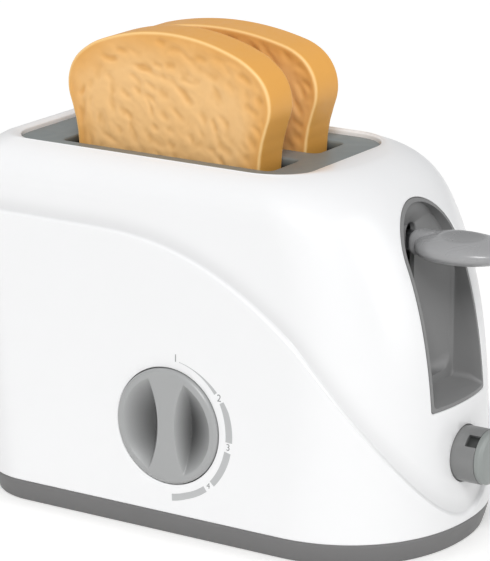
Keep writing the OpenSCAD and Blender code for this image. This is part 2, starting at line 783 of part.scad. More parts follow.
function slice_side(n, drop) =
    let (
        foot = slice_foot_w / 2 - 3,
        neck_z = slice_h * neck_share,
        neck = slice_foot_w / 2 + 1.2,
        bulge_x = slice_crown_w / 2 - bulge_r,
        bulge_z = slice_h - bulge_drop - bulge_r,
        top = slice_h - drop,
        edge = bulge_x + bulge_r / 2,
        rise = top - bulge_z - bulge_rise,
        crown_r = (edge * edge + rise * rise) / (2 * rise),
        crown_t = asin(edge / crown_r)
    )
    [
        [foot - 2, 0],
        [foot, 2],
        for (i = [1 : 4]) [mix(foot, neck, i / 4), mix(2, neck_z, i / 4)],
        for (i = [0 : n]) let (t = mix(-22, 58, i / n))
            [bulge_x + bulge_r * cos(t), bulge_z + bulge_r * sin(t)],
        for (i = [1 : n]) let (t = mix(crown_t, 0, i / n)) [crown_r * sin(t), top - crown_r + crown_r * cos(t)]
    ];

function slice_outline(inset, drop) =
    let (side = slice_side(8, drop), n = len(side), k = 1 - 2 * inset / slice_h)
    concat(
        [for (p = side) [p[0] * (1 - 2 * inset / slice_crown_w), inset + p[1] * k]],
        [for (i = [n - 2 : -1 : 0])
            [-side[i][0] * (1 - 2 * inset / slice_crown_w), inset + side[i][1] * k]]
    );

function slice_at(y, inset, drop) =
    [for (p = slice_outline(inset, drop)) [slot_x + p[0], y, rest_z + p[1]]];

module slice(y, drop) {
    half = slice_t / 2;
    r = slice_edge_r;
    steps = [0, 30, 60, 90];
    color(crust) loft([
        for (i = [0 : 3]) slice_at(y + half - r * sin(steps[i]), r * (1 - cos(steps[3 - i])), drop),
        for (i = [0 : 3]) slice_at(y - half + r * sin(steps[3 - i]), r * (1 - cos(steps[i])), drop)
    ], false);
}

module toast_front() {
    slice(-slot_pitch / 2, 0);
}

module toast_rear() {
    slice(slot_pitch / 2, rear_crown_drop);
}

// ---- Dial ----

knob_face = panel_y - knob_out;
knob_back = well_y - 0.8;
wheel_y = bracket_y + bracket_t + 0.4;
wheel_t = 2.5;

module dial_bracket() {
    half = bracket_pitch / 2 + 4;
    color(inner_grey) difference() {
        union() {
            translate([dial_x, bracket_y, dial_z]) rotate([-90, 0, 0])
                linear_extrude(bracket_t) round_rect(2 * half, 2 * half, 4);
            bar_y(bracket_y - 1.2, bracket_y + bracket_t, dial_x, dial_z, shaft_r + 2.4);
            for (s = [-1, 1])
                bar_y(bracket_y, wheel_y + wheel_t, dial_x + s * stop_x_out, dial_z - stop_drop, stop_r);
        }
        bar_y(bracket_y - 5, bracket_y + 5, dial_x, dial_z, shaft_r + run_gap);
        for (x = [-1, 1]) for (z = [-1, 1])
            bar_y(bracket_y - 1, bracket_y + 5, dial_x + x * bracket_pitch / 2,
                dial_z + z * bracket_pitch / 2, screw_r + seat_gap);
    }
}

// The wheel's tab stops against one peg at each end of half a turn.
tab_half = 1.5;
stop_r = 1.4;
stop_drop = tab_half + stop_r + slide_gap;
stop_x_out = click_r + 3.4;

module click_wheel() {
    notch_step = 360 / click_count;
    color(part_grey) difference() {
        union() {
            bar_y(wheel_y, wheel_y + wheel_t, dial_x, dial_z, click_r);
            box([dial_x - stop_x_out - 1.2, wheel_y, dial_z - tab_half],
                [dial_x, wheel_y + wheel_t, dial_z + tab_half]);
        }
        for (i = [0 : click_count - 1]) if (i != click_count / 2)
            translate([dial_x, 0, dial_z]) rotate([0, i * notch_step, 0])
                bar_y(wheel_y - 1, wheel_y + wheel_t + 1, click_r + 0.5, 0, 1.1);
        bar_y(wheel_y - 1, wheel_y + wheel_t + 1, dial_x, dial_z, screw_r + seat_gap);
    }
}

// A bent strip whose bump lies in the wheel's lowest notch
module click_spring() {
    x0 = dial_x - bracket_pitch / 2 + 5;
    bump_r = 0.85;
    strip_t = 0.6;
    z0 = dial_z - click_r - slide_gap - bump_r;
    y0 = bracket_y + bracket_t;
    color(steel) {
        box([x0, y0, z0 - strip_t], [dial_x + 4, wheel_y + wheel_t, z0]);
        box([x0, y0, z0 - 5], [x0 + strip_t, wheel_y + wheel_t, z0]);
        bar_y(wheel_y, wheel_y + wheel_t, dial_x, z0, bump_r);
    }
}

// The knob's finger wells leave a waisted grip bar, flush with the knob's face. A dish makes
// their rim, and a wide sphere on either side makes the bar's flanks.
well_rim = knob_r - 3;
dish_rise = 19.75;
grip_half = 3.8;
flank_x = 45.2;
flank_rise = 69;
knob_bevel = 1;

module dial_knob() {
    dish_r = norm([well_rim, dish_rise]);
    flank_r = norm([flank_x - grip_half, flank_rise]);
    color(part_grey) difference() {
        union() {
            bar_y(knob_face + knob_bevel, knob_back, dial_x, dial_z, knob_r);
            translate([dial_x, knob_face, dial_z]) rotate([-90, 0, 0])
                cylinder(h = knob_bevel, r1 = knob_r - knob_bevel, r2 = knob_r);
            bar_y(knob_back - 1, wheel_y, dial_x, dial_z, shaft_r);
        }
        intersection() {
            translate([dial_x, knob_face - dish_rise, dial_z]) sphere(dish_r, $fn = 128);
            for (s = [-1, 1])
                translate([dial_x + s * flank_x, knob_face - flank_rise, dial_z]) sphere(flank_r, $fn = 256);
        }
        bar_y(knob_back + 1, wheel_y + 1, dial_x, dial_z, screw_r + seat_gap / 4);
    }
}

module dial_screw() {
    y = wheel_y + wheel_t;
    color(steel) {
        bar_y(knob_back + 1.3, y + eps, dial_x, dial_z, screw_r);
        bar_y(y, y + head_h, dial_x, dial_z, head_r);
    }
}

// ---- Button and latch ----

wall_x = end_surface(0, button_z);
barrel_tip = wall_x + barrel_out;
barrel_back = wall_x - 10;
stop_x = wall_x - wall - 2;
push_tip = rod_x + pivot_gap + 1.6;
guide_x = rod_x + pivot_gap + 13;
guide_t = 3;

module end_button() {
    color(part_grey) difference() {
        union() {
            bar_x(barrel_back, barrel_tip, 0, button_z, button_r);
            bar_x(stop_x - seat_gap - 2, stop_x - seat_gap, 0, button_z, button_r + 2);
        }
        bar_x(barrel_back + 2, barrel_tip + 1, 0, button_z, button_r - 1.6);
        bar_x(barrel_back - 1, barrel_back + 3, 0, button_z, push_r - 0.6);
        translate([barrel_tip - 4.7, 0, button_z]) rotate([42, 0, 0])
            box([0, -2.6, button_r - 2.4], [4.8, 2.6, button_r + 1]);
    }
}

module button_cap() {
    color(part_grey) {
        bar_x(barrel_tip, barrel_tip + cap_t - 1, 0, button_z, button_r - 0.3);
        translate([barrel_tip + cap_t - 1 - eps, 0, button_z]) rotate([0, 90, 0])
            cylinder(h = 1 + eps, r1 = button_r - 0.3, r2 = button_r - 1.5);
        difference() {
            bar_x(barrel_tip - 6, barrel_tip + eps, 0, button_z, button_r - 1.6 - seat_gap / 2);
            bar_x(barrel_tip - 7, barrel_tip, 0, button_z, button_r - 3);
        }
    }
}

module push_rod() {
    color(steel) {
        bar_x(push_tip + 1, barrel_back, 0, button_z, push_r);
        bar_x(push_tip, push_tip + 1 + eps, 0, button_z, push_r - 1.4);
        bar_x(barrel_back - eps, barrel_back + 2, 0, button_z, push_r - 0.7);
    }
}

module button_spring() {
    x0 = guide_x + guide_t + button_travel + slide_gap;
    color(steel) translate([x0, 0, button_z]) rotate([0, 90, 0])
        coil(0, 0, 0, barrel_back - x0, push_r + 1.6, 0.4, 5);
}

ear_w = 2.5;
latch_coil_len = 3.2;

module latch_frame() {
    px = rod_x + pivot_gap;
    ear = latch_w / 2 + slide_gap;
    half = 4.5;
    color(inner_grey) difference() {
        union() {
            box([px - 11.8, -15, frame_foot_z], [guide_x + guide_t, 15, frame_foot_z + 3]);
            for (low = [-ear - ear_w, ear]) {
                box([px - half, low, frame_foot_z], [px + half, low + ear_w, pivot_z]);
                bar_y(low, low + ear_w, px, pivot_z, half);
                box([px, low, frame_foot_z], [guide_x + 1, low + ear_w, frame_foot_z + 18]);
            }
            box([guide_x, -9, frame_foot_z], [guide_x + guide_t, 9, button_z]);
            bar_x(guide_x, guide_x + guide_t, 0, button_z, 9);
        }
        bar_y(-20, 20, px, pivot_z, pin_r + run_gap / 2);
        bar_x(guide_x - 1, guide_x + guide_t + 1, 0, button_z, push_r + run_gap);
        for (x = frame_screw_xs) for (y = [-1, 1])
            translate([rod_x + x, y * frame_screw_y, 0]) cylinder(h = 30, r = screw_r + seat_gap / 4);
    }
}

module latch_pin() {
    half = latch_w / 2 + slide_gap + ear_w;
    color(steel) bar_y(-half - 0.8, half + latch_coil_len + 1, rod_x + pivot_gap, pivot_z, pin_r);
}

// The hook's nose stands just above the carriage's lug when the slices are down, drawn back
// as far as it is when the lug slips past it.
lug_down = lug_high - lift_travel;

module latch_hook() {
    px = rod_x + pivot_gap;
    nose_low = lug_down + slide_gap;
    nose_x = rod_x + block_front + lug_out + slide_gap;
    color(part_grey) difference() {
        union() {
            bar_y(-latch_w / 2, latch_w / 2, px, pivot_z, 4);
            translate([0, latch_w / 2, 0]) rotate([90, 0, 0]) linear_extrude(latch_w) {
                polygon([
                    [px - 2.2, pivot_z], [px - 2.2, button_z - 3.5], [px + 1, button_z - 3.5],
                    [px + 1, pivot_z], [px + 3, pivot_z], [px + 1.5, nose_low + 3.6],
                    [nose_x + 1.2, nose_low + 3.6], [nose_x, nose_low + 2], [nose_x, nose_low],
                    [nose_x + 3, nose_low], [px - 3.6, nose_low - 3]
                ]);
            }
        }
        bar_y(-20, 20, px, pivot_z, pin_r + run_gap);
    }
}

module latch_spring() {
    side = latch_w / 2 + slide_gap + ear_w;
    color(steel) translate([rod_x + pivot_gap, side, pivot_z]) rotate([-90, 0, 0])
        coil(0, 0, 0, latch_coil_len, pin_r + 1, 0.3, 3);
}

// ---- Fasteners ----

module base_screws() {
    color(steel) for (x = boss_xs) for (y = [-boss_y, boss_y])
        screw_up(x, y, head_well, 20);
}

module plate_screws() {
    z = seat_z - ledge_t - 0.2;
    color(steel) for (p = plate_posts) {
        translate([p[0], p[1], z - head_h]) cylinder(h = head_h, r = plate_post_r + 1.2);
        translate([p[0], p[1], z - 1]) cylinder(h = plate_top - 1.4 - z + 1, r = screw_r);
    }
}

module channel_screws() {
    color(steel) for (y = [-1, 1]) {
        bar_x(liner_x - head_h, liner_x, y * liner_post_y, liner_post_z, head_r);
        bar_x(liner_x - 1, liner_x + 10, y * liner_post_y, liner_post_z, screw_r);
    }
}

module bracket_screws() {
    y = bracket_y + bracket_t;
    color(steel) for (x = [-1, 1]) for (z = [-1, 1]) {
        bar_y(y, y + head_h, dial_x + x * bracket_pitch / 2, dial_z + z * bracket_pitch / 2, head_r);
        bar_y(y - 5.5, y + eps, dial_x + x * bracket_pitch / 2, dial_z + z * bracket_pitch / 2, screw_r);
    }
}

module frame_screws() {
    color(steel) for (x = frame_screw_xs) for (y = [-1, 1])
        screw_up(rod_x + x, y * frame_screw_y, head_well, 4.7);
}

housing();
base();
top_plate();
lever_channel();
guide_rods();
lift_springs();
latch_frame();
latch_pin();
latch_hook();
latch_spring();
dial_bracket();
click_spring();
base_screws();
plate_screws();
channel_screws();
bracket_screws();
frame_screws();
carriage();
lever_arm();
arm_screws();
lever_handle();
handle_screw();
toast_front();
toast_rear();
dial_knob();
click_wheel();
dial_screw();
end_button();
button_cap();
push_rod();
button_spring();
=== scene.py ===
import math
import random

import bmesh
import bpy
import numpy as np
from mathutils import Euler, Matrix, Vector
from mathutils import kdtree
from mathutils import noise as mathnoise


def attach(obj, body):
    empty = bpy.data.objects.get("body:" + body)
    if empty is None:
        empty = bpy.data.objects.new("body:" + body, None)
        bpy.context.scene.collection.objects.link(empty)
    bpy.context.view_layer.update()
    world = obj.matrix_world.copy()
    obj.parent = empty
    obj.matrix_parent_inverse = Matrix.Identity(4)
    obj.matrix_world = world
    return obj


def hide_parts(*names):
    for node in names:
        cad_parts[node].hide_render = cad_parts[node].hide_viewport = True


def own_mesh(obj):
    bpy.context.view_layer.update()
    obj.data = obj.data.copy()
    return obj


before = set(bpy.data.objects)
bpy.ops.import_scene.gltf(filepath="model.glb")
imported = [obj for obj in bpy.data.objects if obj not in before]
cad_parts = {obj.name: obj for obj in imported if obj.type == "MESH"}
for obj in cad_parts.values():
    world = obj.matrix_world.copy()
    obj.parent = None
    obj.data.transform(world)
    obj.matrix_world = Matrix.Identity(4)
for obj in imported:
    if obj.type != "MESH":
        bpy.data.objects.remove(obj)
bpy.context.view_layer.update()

bl_info = {
    "name": "Toy Toaster",
    "version": (1, 0, 0),
    "blender": (4, 5, 0),
    "location": "View3D > Sidebar > Toaster",
    "description": "Builds the finished pieces of a child's pop-up toaster around its frame",
    "category": "Object",
}

MM = 0.001


# ---- Sizes and colours ----

def length(name, description, millimetres):
    return bpy.props.FloatProperty(
        name=name, description=description, default=millimetres * MM, unit="LENGTH", precision=5)


def colour(name, description, red, green, blue):
    return bpy.props.FloatVectorProperty(
        name=name, description=description, default=(red, green, blue),
        subtype="COLOR", size=3, min=0.0, max=1.0)


class HousingSizes(bpy.types.PropertyGroup):
    """Sizes of the moulded housing and its base"""

    body_len: length("Length", "Plain end to lever end", 197)
    body_w: length("Width", "Across the lower edge", 109)
    body_h: length("Height", "Top rim above the table", 146)
    side_lean: length("Lean", "How far each side leans in on its way up", 2.5)
    side_roll: length("Side roll", "Radius that rolls each side into the top", 17)
    tail_roll: length("End roll", "Radius that rolls the plain end into the top", 9.6)
    shoulder_len: length("Shoulder length", "How far the top stops short of the lever end", 51.6)
    shoulder_z: length("Shoulder start", "Height where the lever end starts to curve back", 22)
    wall: length("Wall", "Wall thickness of the housing", 2.5)
    step_out: length("Panel step", "How far the lower panel stands proud", 1.5)
    step_rise: length("Panel bevel", "Height of the bevel along the panel's edge", 1.5)
    crease_high: length("Edge high", "Height of the panel's edge on the plain half", 117.4)
    crease_low: length("Edge low", "Height of the panel's edge under the lever end", 11.2)
    skirt_z: length("Skirt", "Height of the housing's lower edge above the table", 9)
    plate_top: length("Plate height", "Height of the top plate's face", 143)
    slot_len: length("Slot length", "Length of each slot", 97)
    slot_w: length("Slot width", "Width of each slot", 21.5)
    slot_pitch: length("Slot pitch", "Distance between the slots", 33.8)


class MovingSizes(bpy.types.PropertyGroup):
    """Sizes of the slices, the lever, the dial and the button"""

    slice_t: length("Slice thickness", "Thickness of a slice", 17.3)
    slice_h: length("Slice height", "Height of the front slice", 91)
    crown_drop: length("Rear crown", "How much lower the rear slice's crown is", 3)
    slice_foot: length("Slice foot", "Width of a slice across its foot", 84)
    slice_crown: length("Slice crown", "Width of a slice across its crown", 94)
    crumb: length("Crumb relief", "Depth of the moulded crumb", 0.8)
    paddle_len: length("Paddle length", "Length of the lever's paddle", 39)
    paddle_w: length("Paddle width", "Width of the lever's paddle", 30)
    paddle_t: length("Paddle thickness", "Thickness of the lever's paddle", 10.5)
    knob_r: length("Knob radius", "Radius of the dial's knob", 23)
    knob_out: length("Knob height", "How far the knob stands proud", 1.3)
    button_r: length("Button radius", "Radius of the button's barrel", 10.85)
    scale_r: length("Scale radius", "Inner radius of the dial's printed scale", 26.5)


class Colours(bpy.types.PropertyGroup):
    """Colours of the finishes"""

    shell: colour("Shell", "White housing", 0.90, 0.90, 0.905)
    base: colour("Base", "Dark grey base", 0.166, 0.164, 0.164)
    plate: colour("Plate", "Cool grey top plate", 0.20, 0.225, 0.225)
    liner: colour("Liner", "Grey lever recess", 0.22, 0.22, 0.22)
    lever: colour("Lever", "Grey lever", 0.335, 0.335, 0.34)
    knob: colour("Knob", "Grey dial knob", 0.38, 0.385, 0.385)
    button: colour("Button", "Grey button barrel", 0.205, 0.207, 0.206)
    cap: colour("Cap", "Button cap", 0.28, 0.30, 0.29)
    scale: colour("Scale", "Printed scale", 0.50, 0.505, 0.51)
    # crumb, lightened, also gives the painted highlight on a slice's rim; toasted, darkened, the painted shade
    # in its hollows
    crumb: colour("Crumb", "Middle of a slice's face", 0.90, 0.55, 0.235)
    toasted: colour("Toasted", "Hollows and edges of a slice's face", 0.78, 0.385, 0.095)
    crust: colour("Crust", "Side of a slice", 0.86, 0.42, 0.085)
    inner: colour("Inner plastic", "Plain plastic inside", 0.55, 0.55, 0.53)
    steel: colour("Steel", "Rods, strip and screws", 0.50, 0.51, 0.53)
    floor: colour("Floor", "Pale floor", 0.90, 0.895, 0.885)


# ---- Plain helpers ----

def mix(a, b, t):
    return a + (b - a) * t


def clamp(v, low=0.0, high=1.0):
    return min(high, max(low, v))


def ease(t):
    return t * t * (3 - 2 * t)


def soft_min(a, b, width):
    """The smaller of a and b, rounded off where they cross"""
    t = clamp(0.5 + 0.5 * (b - a) / width)
    return mix(b, a, t) - width * t * (1 - t)


def signed_power(v, p):
    return math.copysign(abs(v) ** p, v)


def turn(degrees):
    return math.radians(degrees)


def grid(us, vs):
    return [(u, v) for u in us for v in vs]


def arc(u, v, r, start, stop, steps, last=False):
    """Points along an arc round (u, v), with or without the last one"""
    turns = [turn(mix(start, stop, i / steps)) for i in range(steps + last)]
    return [(u + r * math.cos(t), v + r * math.sin(t)) for t in turns]


# Radii of the holes that a screw bites into, that it passes through and that a guide rod stands in,
# and of the dial's shaft and its bore
PILOT_R, CLEAR_R, ROD_BORE_R = 1.4, 1.55, 2.04
SHAFT_R, SHAFT_BORE_R = 3.9, 4.25


class Form:
    """The driving sizes in millimetres, with the surfaces and the places that follow from them"""

    plate_x = (-89.1, 43.3)
    plate_half = 39.5
    plate_r = 16.8
    dial_x = -1.7
    dial_z = 44.2
    button_z = 36.0
    liner_x = 70.5
    recess_z = (56.3, 112.6)
    arm_slot_low = 63
    arm_z = 116.5
    rod_x = 36.0
    boss_r = 5
    ear_r = 3.4
    ears = ((-25, 82.3), (25, 82.3))
    slot_x = -21.5
    rest_z = 99.5
    shoulder_rise = 2.3
    shoulder_run = 2.2
    crease_start = 38.0
    crease_run = 167.0
    crease_delay = 1.43

    def __init__(self):
        for group in (bpy.context.scene.toaster_housing, bpy.context.scene.toaster_moving):
            for name in group.__annotations__:
                setattr(self, name, getattr(group, name) / MM)
        self.x_end = self.body_len / 2
        self.half_w = self.body_w / 2
        self.top_z = self.body_h
        self.panel_y = -(self.half_width(self.dial_z) + self.step_out)
        self.well_y = self.panel_y + 6
        self.wall_x = self.end_surface(0, self.button_z)
        boss_y = self.half_w - self.wall - self.boss_r + 0.6
        self.bosses = grid((-self.x_end + 28, self.x_end - 56), (-boss_y, boss_y))
        self.rods = grid((self.rod_x,), (-13, 13))
        self.feet = grid((self.rod_x + 8.5, self.rod_x + 25.5), (-11, 11))
        self.posts = grid((self.plate_x[0] + 8.5, self.plate_x[1] - 8.5), (-31, 31))
        self.bracket = grid((self.dial_x - 20, self.dial_x + 20), (self.dial_z - 20, self.dial_z + 20))

    def up(self, z):
        return (z - self.skirt_z) / (self.top_z - self.skirt_z)

    def roll(self, z, r):
        if z <= self.top_z - r:
            return 0.0
        return r - math.sqrt(max(0.0, r * r - (z - self.top_z + r) ** 2))

    def half_width(self, z):
        return self.half_w - self.side_lean * self.up(z) - self.roll(z, self.side_roll)

    def tail_x(self, z):
        return -self.x_end + self.roll(z, self.tail_roll)

    def lever_x(self, z):
        s = clamp((z - self.shoulder_z) / (self.top_z - self.shoulder_z))
        fall = (1 - s ** self.shoulder_rise) ** (1 / self.shoulder_run)
        return self.x_end - self.shoulder_len + self.shoulder_len * fall

    def end_curve(self, z):
        return mix(50, 33, self.up(z))

    def tail_corner(self, z):
        return mix(26, 12, self.up(z))

    def end_power(self, z):
        return mix(2.15, 2.3, self.up(z))

    def end_surface(self, y, z):
        a, n = self.end_curve(z), self.end_power(z)
        reach = max(0.0, 1 - (abs(y) / self.half_width(z)) ** n)
        return self.lever_x(z) - a + a * reach ** (1 / n)

    @staticmethod
    def straight(kind, i, z, steps, xl, xe, w, r):
        """A point of the front, the back, the tail or its corners, where the lever end starts at xe"""
        sides, ends, corners, tails = steps
        if kind == "front":
            return (mix(xl + r, xe, i / sides), -w, z)
        if kind == "back":
            return (mix(xe, xl + r, i / sides), w, z)
        if kind == "tail":
            return (xl, mix(w - r, -w + r, i / tails), z)
        t = turn((90 if kind == "back_corner" else 180) + 90 * i / corners)
        side = 1 if kind == "back_corner" else -1
        return (xl + r + r * math.cos(t), side * (w - r) + r * math.sin(t), z)

    def place(self, kind, i, z, off, steps):
        """A point of the ring round the housing at one height, moved outwards by off"""
        w = self.half_width(z) + off
        xl, xr = self.tail_x(z) - off, self.lever_x(z) + off
        a, p = self.end_curve(z) + off, 2 / self.end_power(z)
        if kind != "end":
            return self.straight(kind, i, z, steps, xl, xr - a, w, self.tail_corner(z) + off)
        t = turn(-90 + 90 * i / steps[1])
        return (xr - a + a * abs(math.cos(t)) ** p, w * signed_power(math.sin(t), p), z)

    def plate_place(self, kind, i, z, off, steps):
        """A point of the plate's outline that matches the ring's"""
        w, r = self.plate_half + off, self.plate_r + off
        xl, xr = self.plate_x[0] - off, self.plate_x[1] + off
        if kind != "end":
            return self.straight(kind, i, z, steps, xl, xr - r, w, r)
        arc_share = 0.6
        f, s = abs(i / steps[1] - 1), (-1 if i < steps[1] else 1)
        if f <= 1 - arc_share:
            return (xr, s * (w - r) * f / (1 - arc_share), z)
        t = turn(90 * min(1.0, (1 - f) / arc_share))
        return (xr - r + r * math.sin(t), s * (w - r + r * math.cos(t)), z)

    def order(self, steps):
        sides, ends, corners, tails = steps
        counts = (("front", sides), ("end", 2 * ends), ("back", sides), ("back_corner", corners),
                  ("tail", tails), ("front_corner", corners))
        return [(kind, i) for kind, count in counts for i in range(count)]

    def ring(self, z, off, steps):
        return [self.place(kind, i, z, off, steps) for kind, i in self.order(steps)]

    def plate_ring(self, z, off, steps):
        return [self.plate_place(kind, i, z, off, steps) for kind, i in self.order(steps)]

    def creases(self, steps):
        """Height of the swooping panel's edge at each step round the housing"""
        low = [Vector(p) for p in self.ring(self.skirt_z, 0, steps)]
        sides, ends = steps[:2]
        half = sides + ends
        along = [0.0]
        for k in range(1, len(low)):
            along.append(along[-1] + (low[k] - low[k - 1]).length)
        heights = []
        for k in range(len(low)):
            j = k if k <= half else 2 * half - k
            s = along[j] if j >= 0 else 0.0
            fall = ease(clamp((s - self.crease_start) / self.crease_run) ** self.crease_delay)
            heights.append(mix(self.crease_high, self.crease_low, fall))
        return heights


# ---- Mesh helpers; every shape is given in millimetres ----

def linked(name, data):
    piece = bpy.data.objects.new(name, data)
    bpy.context.scene.collection.objects.link(piece)
    return piece


def solid(name, points, faces, weld=True):
    mesh = bpy.data.meshes.new(name)
    mesh.from_pydata([tuple(c * MM for c in p) for p in points], [], faces)
    outward(mesh, weld)
    return linked(name, mesh)


def outward(mesh, weld=True):
    """Turns the mesh's faces outwards, after joining the points that coincide"""
    work = bmesh.new()
    work.from_mesh(mesh)
    if weld:
        bmesh.ops.remove_doubles(work, verts=work.verts, dist=1e-7)
    bmesh.ops.recalc_face_normals(work, faces=work.faces)
    work.to_mesh(mesh)
    work.free()
    mesh.update()


def middle(ring):
    return tuple(sum(p[k] for p in ring) / len(ring) for k in range(3))


def loft(name, rings, wrap=False, weld=True):
    """Joins rings of as many points into one closed skin"""
    n, m = len(rings[0]), len(rings)
    points = [p for ring in rings for p in ring]
    faces = []
    for i in range(m if wrap else m - 1):
        a, b = i * n, ((i + 1) % m) * n
        faces += [(a + j, a + (j + 1) % n, b + (j + 1) % n, b + j) for j in range(n)]
    if not wrap:
        points += [middle(rings[0]), middle(rings[-1])]
        b = (m - 1) * n
        faces += [(j, m * n, (j + 1) % n) for j in range(n)]
        faces += [(b + j, b + (j + 1) % n, m * n + 1) for j in range(n)]
    return solid(name, points, faces, weld)


AXES = {"x": (0, 1, 2), "y": (1, 0, 2), "z": (2, 0, 1)}


def on_axis(axis, along, u, v):
    p = [0.0, 0.0, 0.0]
    p[AXES[axis][0]], p[AXES[axis][1]], p[AXES[axis][2]] = along, u, v
    return tuple(p)


def across(axis, along, outline):
    """The flat outline as points at one place along the axis"""
    return [on_axis(axis, along, u, v) for u, v in outline]


def turned(name, axis, centre, profile, steps=64, wrap=False):
    """A body of revolution from (along, radius) pairs, whose ends are closed or joined"""
    return loft(name, [across(axis, along, arc(*centre, r, 0, 360, steps)) for along, r in profile], wrap)


def rod(axis, start, end, u, v, r, steps=48):
    return turned("rod", axis, (u, v), [(start, r), (end, r)], steps)


def block(low, high):
    corners = [(x, y, z) for x in (low[0], high[0]) for y in (low[1], high[1]) for z in (low[2], high[2])]
    faces = [(0, 1, 3, 2), (4, 6, 7, 5), (0, 4, 5, 1), (2, 3, 7, 6), (0, 2, 6, 4), (1, 5, 7, 3)]
    return solid("block", corners, faces)


def round_rect(half_l, half_w, r, cx, cy, z, corner=10):
    points = []
    for k, (sx, sy) in enumerate(((1, 1), (-1, 1), (-1, -1), (1, -1))):
        points += arc(cx + sx * (half_l - r), cy + sy * (half_w - r), r, 90 * k, 90 * k + 90, corner, True)
    return across("z", z, points)


def carve(piece, tools, operation="DIFFERENCE"):
    """Cuts the tools out of the piece, or adds them to it, and removes them"""
    for tool in tools:
        step = piece.modifiers.new("carve", "BOOLEAN")
        step.operation = operation
        step.solver = "MANIFOLD"
        step.object = tool
    bake(piece)
    for tool in tools:
        bpy.data.objects.remove(tool)
    if len(piece.data.polygons) == 0:
        raise RuntimeError(f"{piece.name} came out empty")
    return piece


def evaluated(piece):
    """A plain mesh of the piece with its modifiers"""
    bpy.context.view_layer.update()
    graph = bpy.context.evaluated_depsgraph_get()
    return bpy.data.meshes.new_from_object(piece.evaluated_get(graph))


def bake(piece):
    mesh = evaluated(piece)
    piece.modifiers.clear()
    piece.data = mesh
    return piece


def shade_by(piece, tones):
    """Writes the attribute of painted shade that the finishes darken their tone by"""
    piece.data.attributes.new("shade", "FLOAT", "POINT").data.foreach_set("value", tones)


def finish(piece, name, material, body, slot, *nodes, sharp=34):
    piece.name = name
    piece.data.name = name
    piece.data.materials.clear()
    piece.data.materials.append(material)
    piece.data.shade_smooth()
    piece.data.set_sharp_from_angle(angle=turn(sharp))
    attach(piece, body)
    if nodes:
        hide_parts(*nodes)
    return piece


# ---- Materials ----

class Tree:
    """A node tree under construction"""

    def __init__(self, tree):
        self.tree, self.nodes = tree, tree.nodes

    def put(self, target, value):
        """Links a socket to the target, or sets the target's value"""
        if isinstance(value, bpy.types.NodeSocket):
            self.tree.links.new(value, target)
        else:
            target.default_value = value

    def add(self, kind, *inputs, **named):
        """A new node with its inputs in order, and with its other inputs and its settings by name"""
        node = self.nodes.new(kind)
        for key, value in named.items():
            name = key.replace("_", " ")
            if name in node.inputs:
                self.put(node.inputs[name], value)
            else:
                setattr(node, key, value)
        for target, value in zip(node.inputs, inputs):
            self.put(target, value)
        return node

    def get(self, kind, *inputs, **named):
        """The first output of a new node"""
        return self.add(kind, *inputs, **named).outputs[0]


def new_group(name, kind, inputs, outputs):
    """A new node group, the outputs of its start and the inputs of its end"""
    group = bpy.data.node_groups.new(name, kind)
    for side, sockets in (("INPUT", inputs), ("OUTPUT", outputs)):
        for label, socket in sockets:
            group.interface.new_socket(label, in_out=side, socket_type="NodeSocket" + socket)
    tree = Tree(group)
    return tree, tree.nodes.new("NodeGroupInput").outputs, tree.nodes.new("NodeGroupOutput").inputs


CLOUDS = (("Grain", 2.0, 0.0), ("Mottle", 3.0, 0.0), ("Marks", 6.0, 1.4))


def grain_group():
    """Fine moulded grain, broad tone and handling marks, shared by every plastic"""
    name = "Moulded surface"
    if name in bpy.data.node_groups:
        return bpy.data.node_groups[name]
    tree, start, end = new_group(
        name, "ShaderNodeTree", [("Where", "Vector"), *((cloud[0] + " Scale", "Float") for cloud in CLOUDS)],
        [(cloud[0], "Float") for cloud in CLOUDS])
    for k, (_, detail, distortion) in enumerate(CLOUDS):
        cloud = tree.add("ShaderNodeTexNoise", Vector=start[0], Scale=start[k + 1], Detail=detail,
                         Distortion=distortion)
        tree.put(end[k], cloud.outputs["Fac"])
    return tree.tree


class Finish(Tree):
    """A material under construction"""

    def __init__(self, name, rough, metallic=0.0):
        self.material = bpy.data.materials.new(name)
        self.material.use_nodes = True
        super().__init__(self.material.node_tree)
        self.shader = self.nodes["Principled BSDF"]
        self.surface(Roughness=rough, Metallic=metallic)

    def surface(self, **values):
        """Links or sets the shader's inputs"""
        for key, value in values.items():
            self.put(self.shader.inputs[key.replace("_", " ")], value)

    def span(self, source, low, high, start=0.0, stop=1.0):
        """The source from start to stop, turned into low to high"""
        return self.get("ShaderNodeMapRange", source, start, stop, low, high)

    def blend(self, source, *tones):
        """The first tone where the source is 0, and the second where it is 1"""
        node = self.add("ShaderNodeMix", source, data_type="RGBA")
        for target, tone in zip(node.inputs[6:8], tones):
            self.put(target, tone if isinstance(tone, bpy.types.NodeSocket) else (*tone, 1.0))
        return node.outputs[2]

    def bump(self, height, strength, distance):
        self.surface(Normal=self.get("ShaderNodeBump", Height=height, Strength=strength,
                                     Distance=distance * MM))

    def coordinates(self):
        return self.add("ShaderNodeTexCoord").outputs["Object"]

    def attribute(self, name):
        return self.add("ShaderNodeAttribute", attribute_name=name).outputs["Fac"]

    def grain(self, *scales):
        return self.add("ShaderNodeGroup", self.coordinates(), *scales, node_tree=grain_group()).outputs

    def mottled(self, clouds, low, high):
        return self.blend(self.span(clouds["Mottle"], 0, 1, 0.3, 0.7), low, high)


def scaled(tone, factor):
    return tuple(clamp(c * factor) for c in tone)


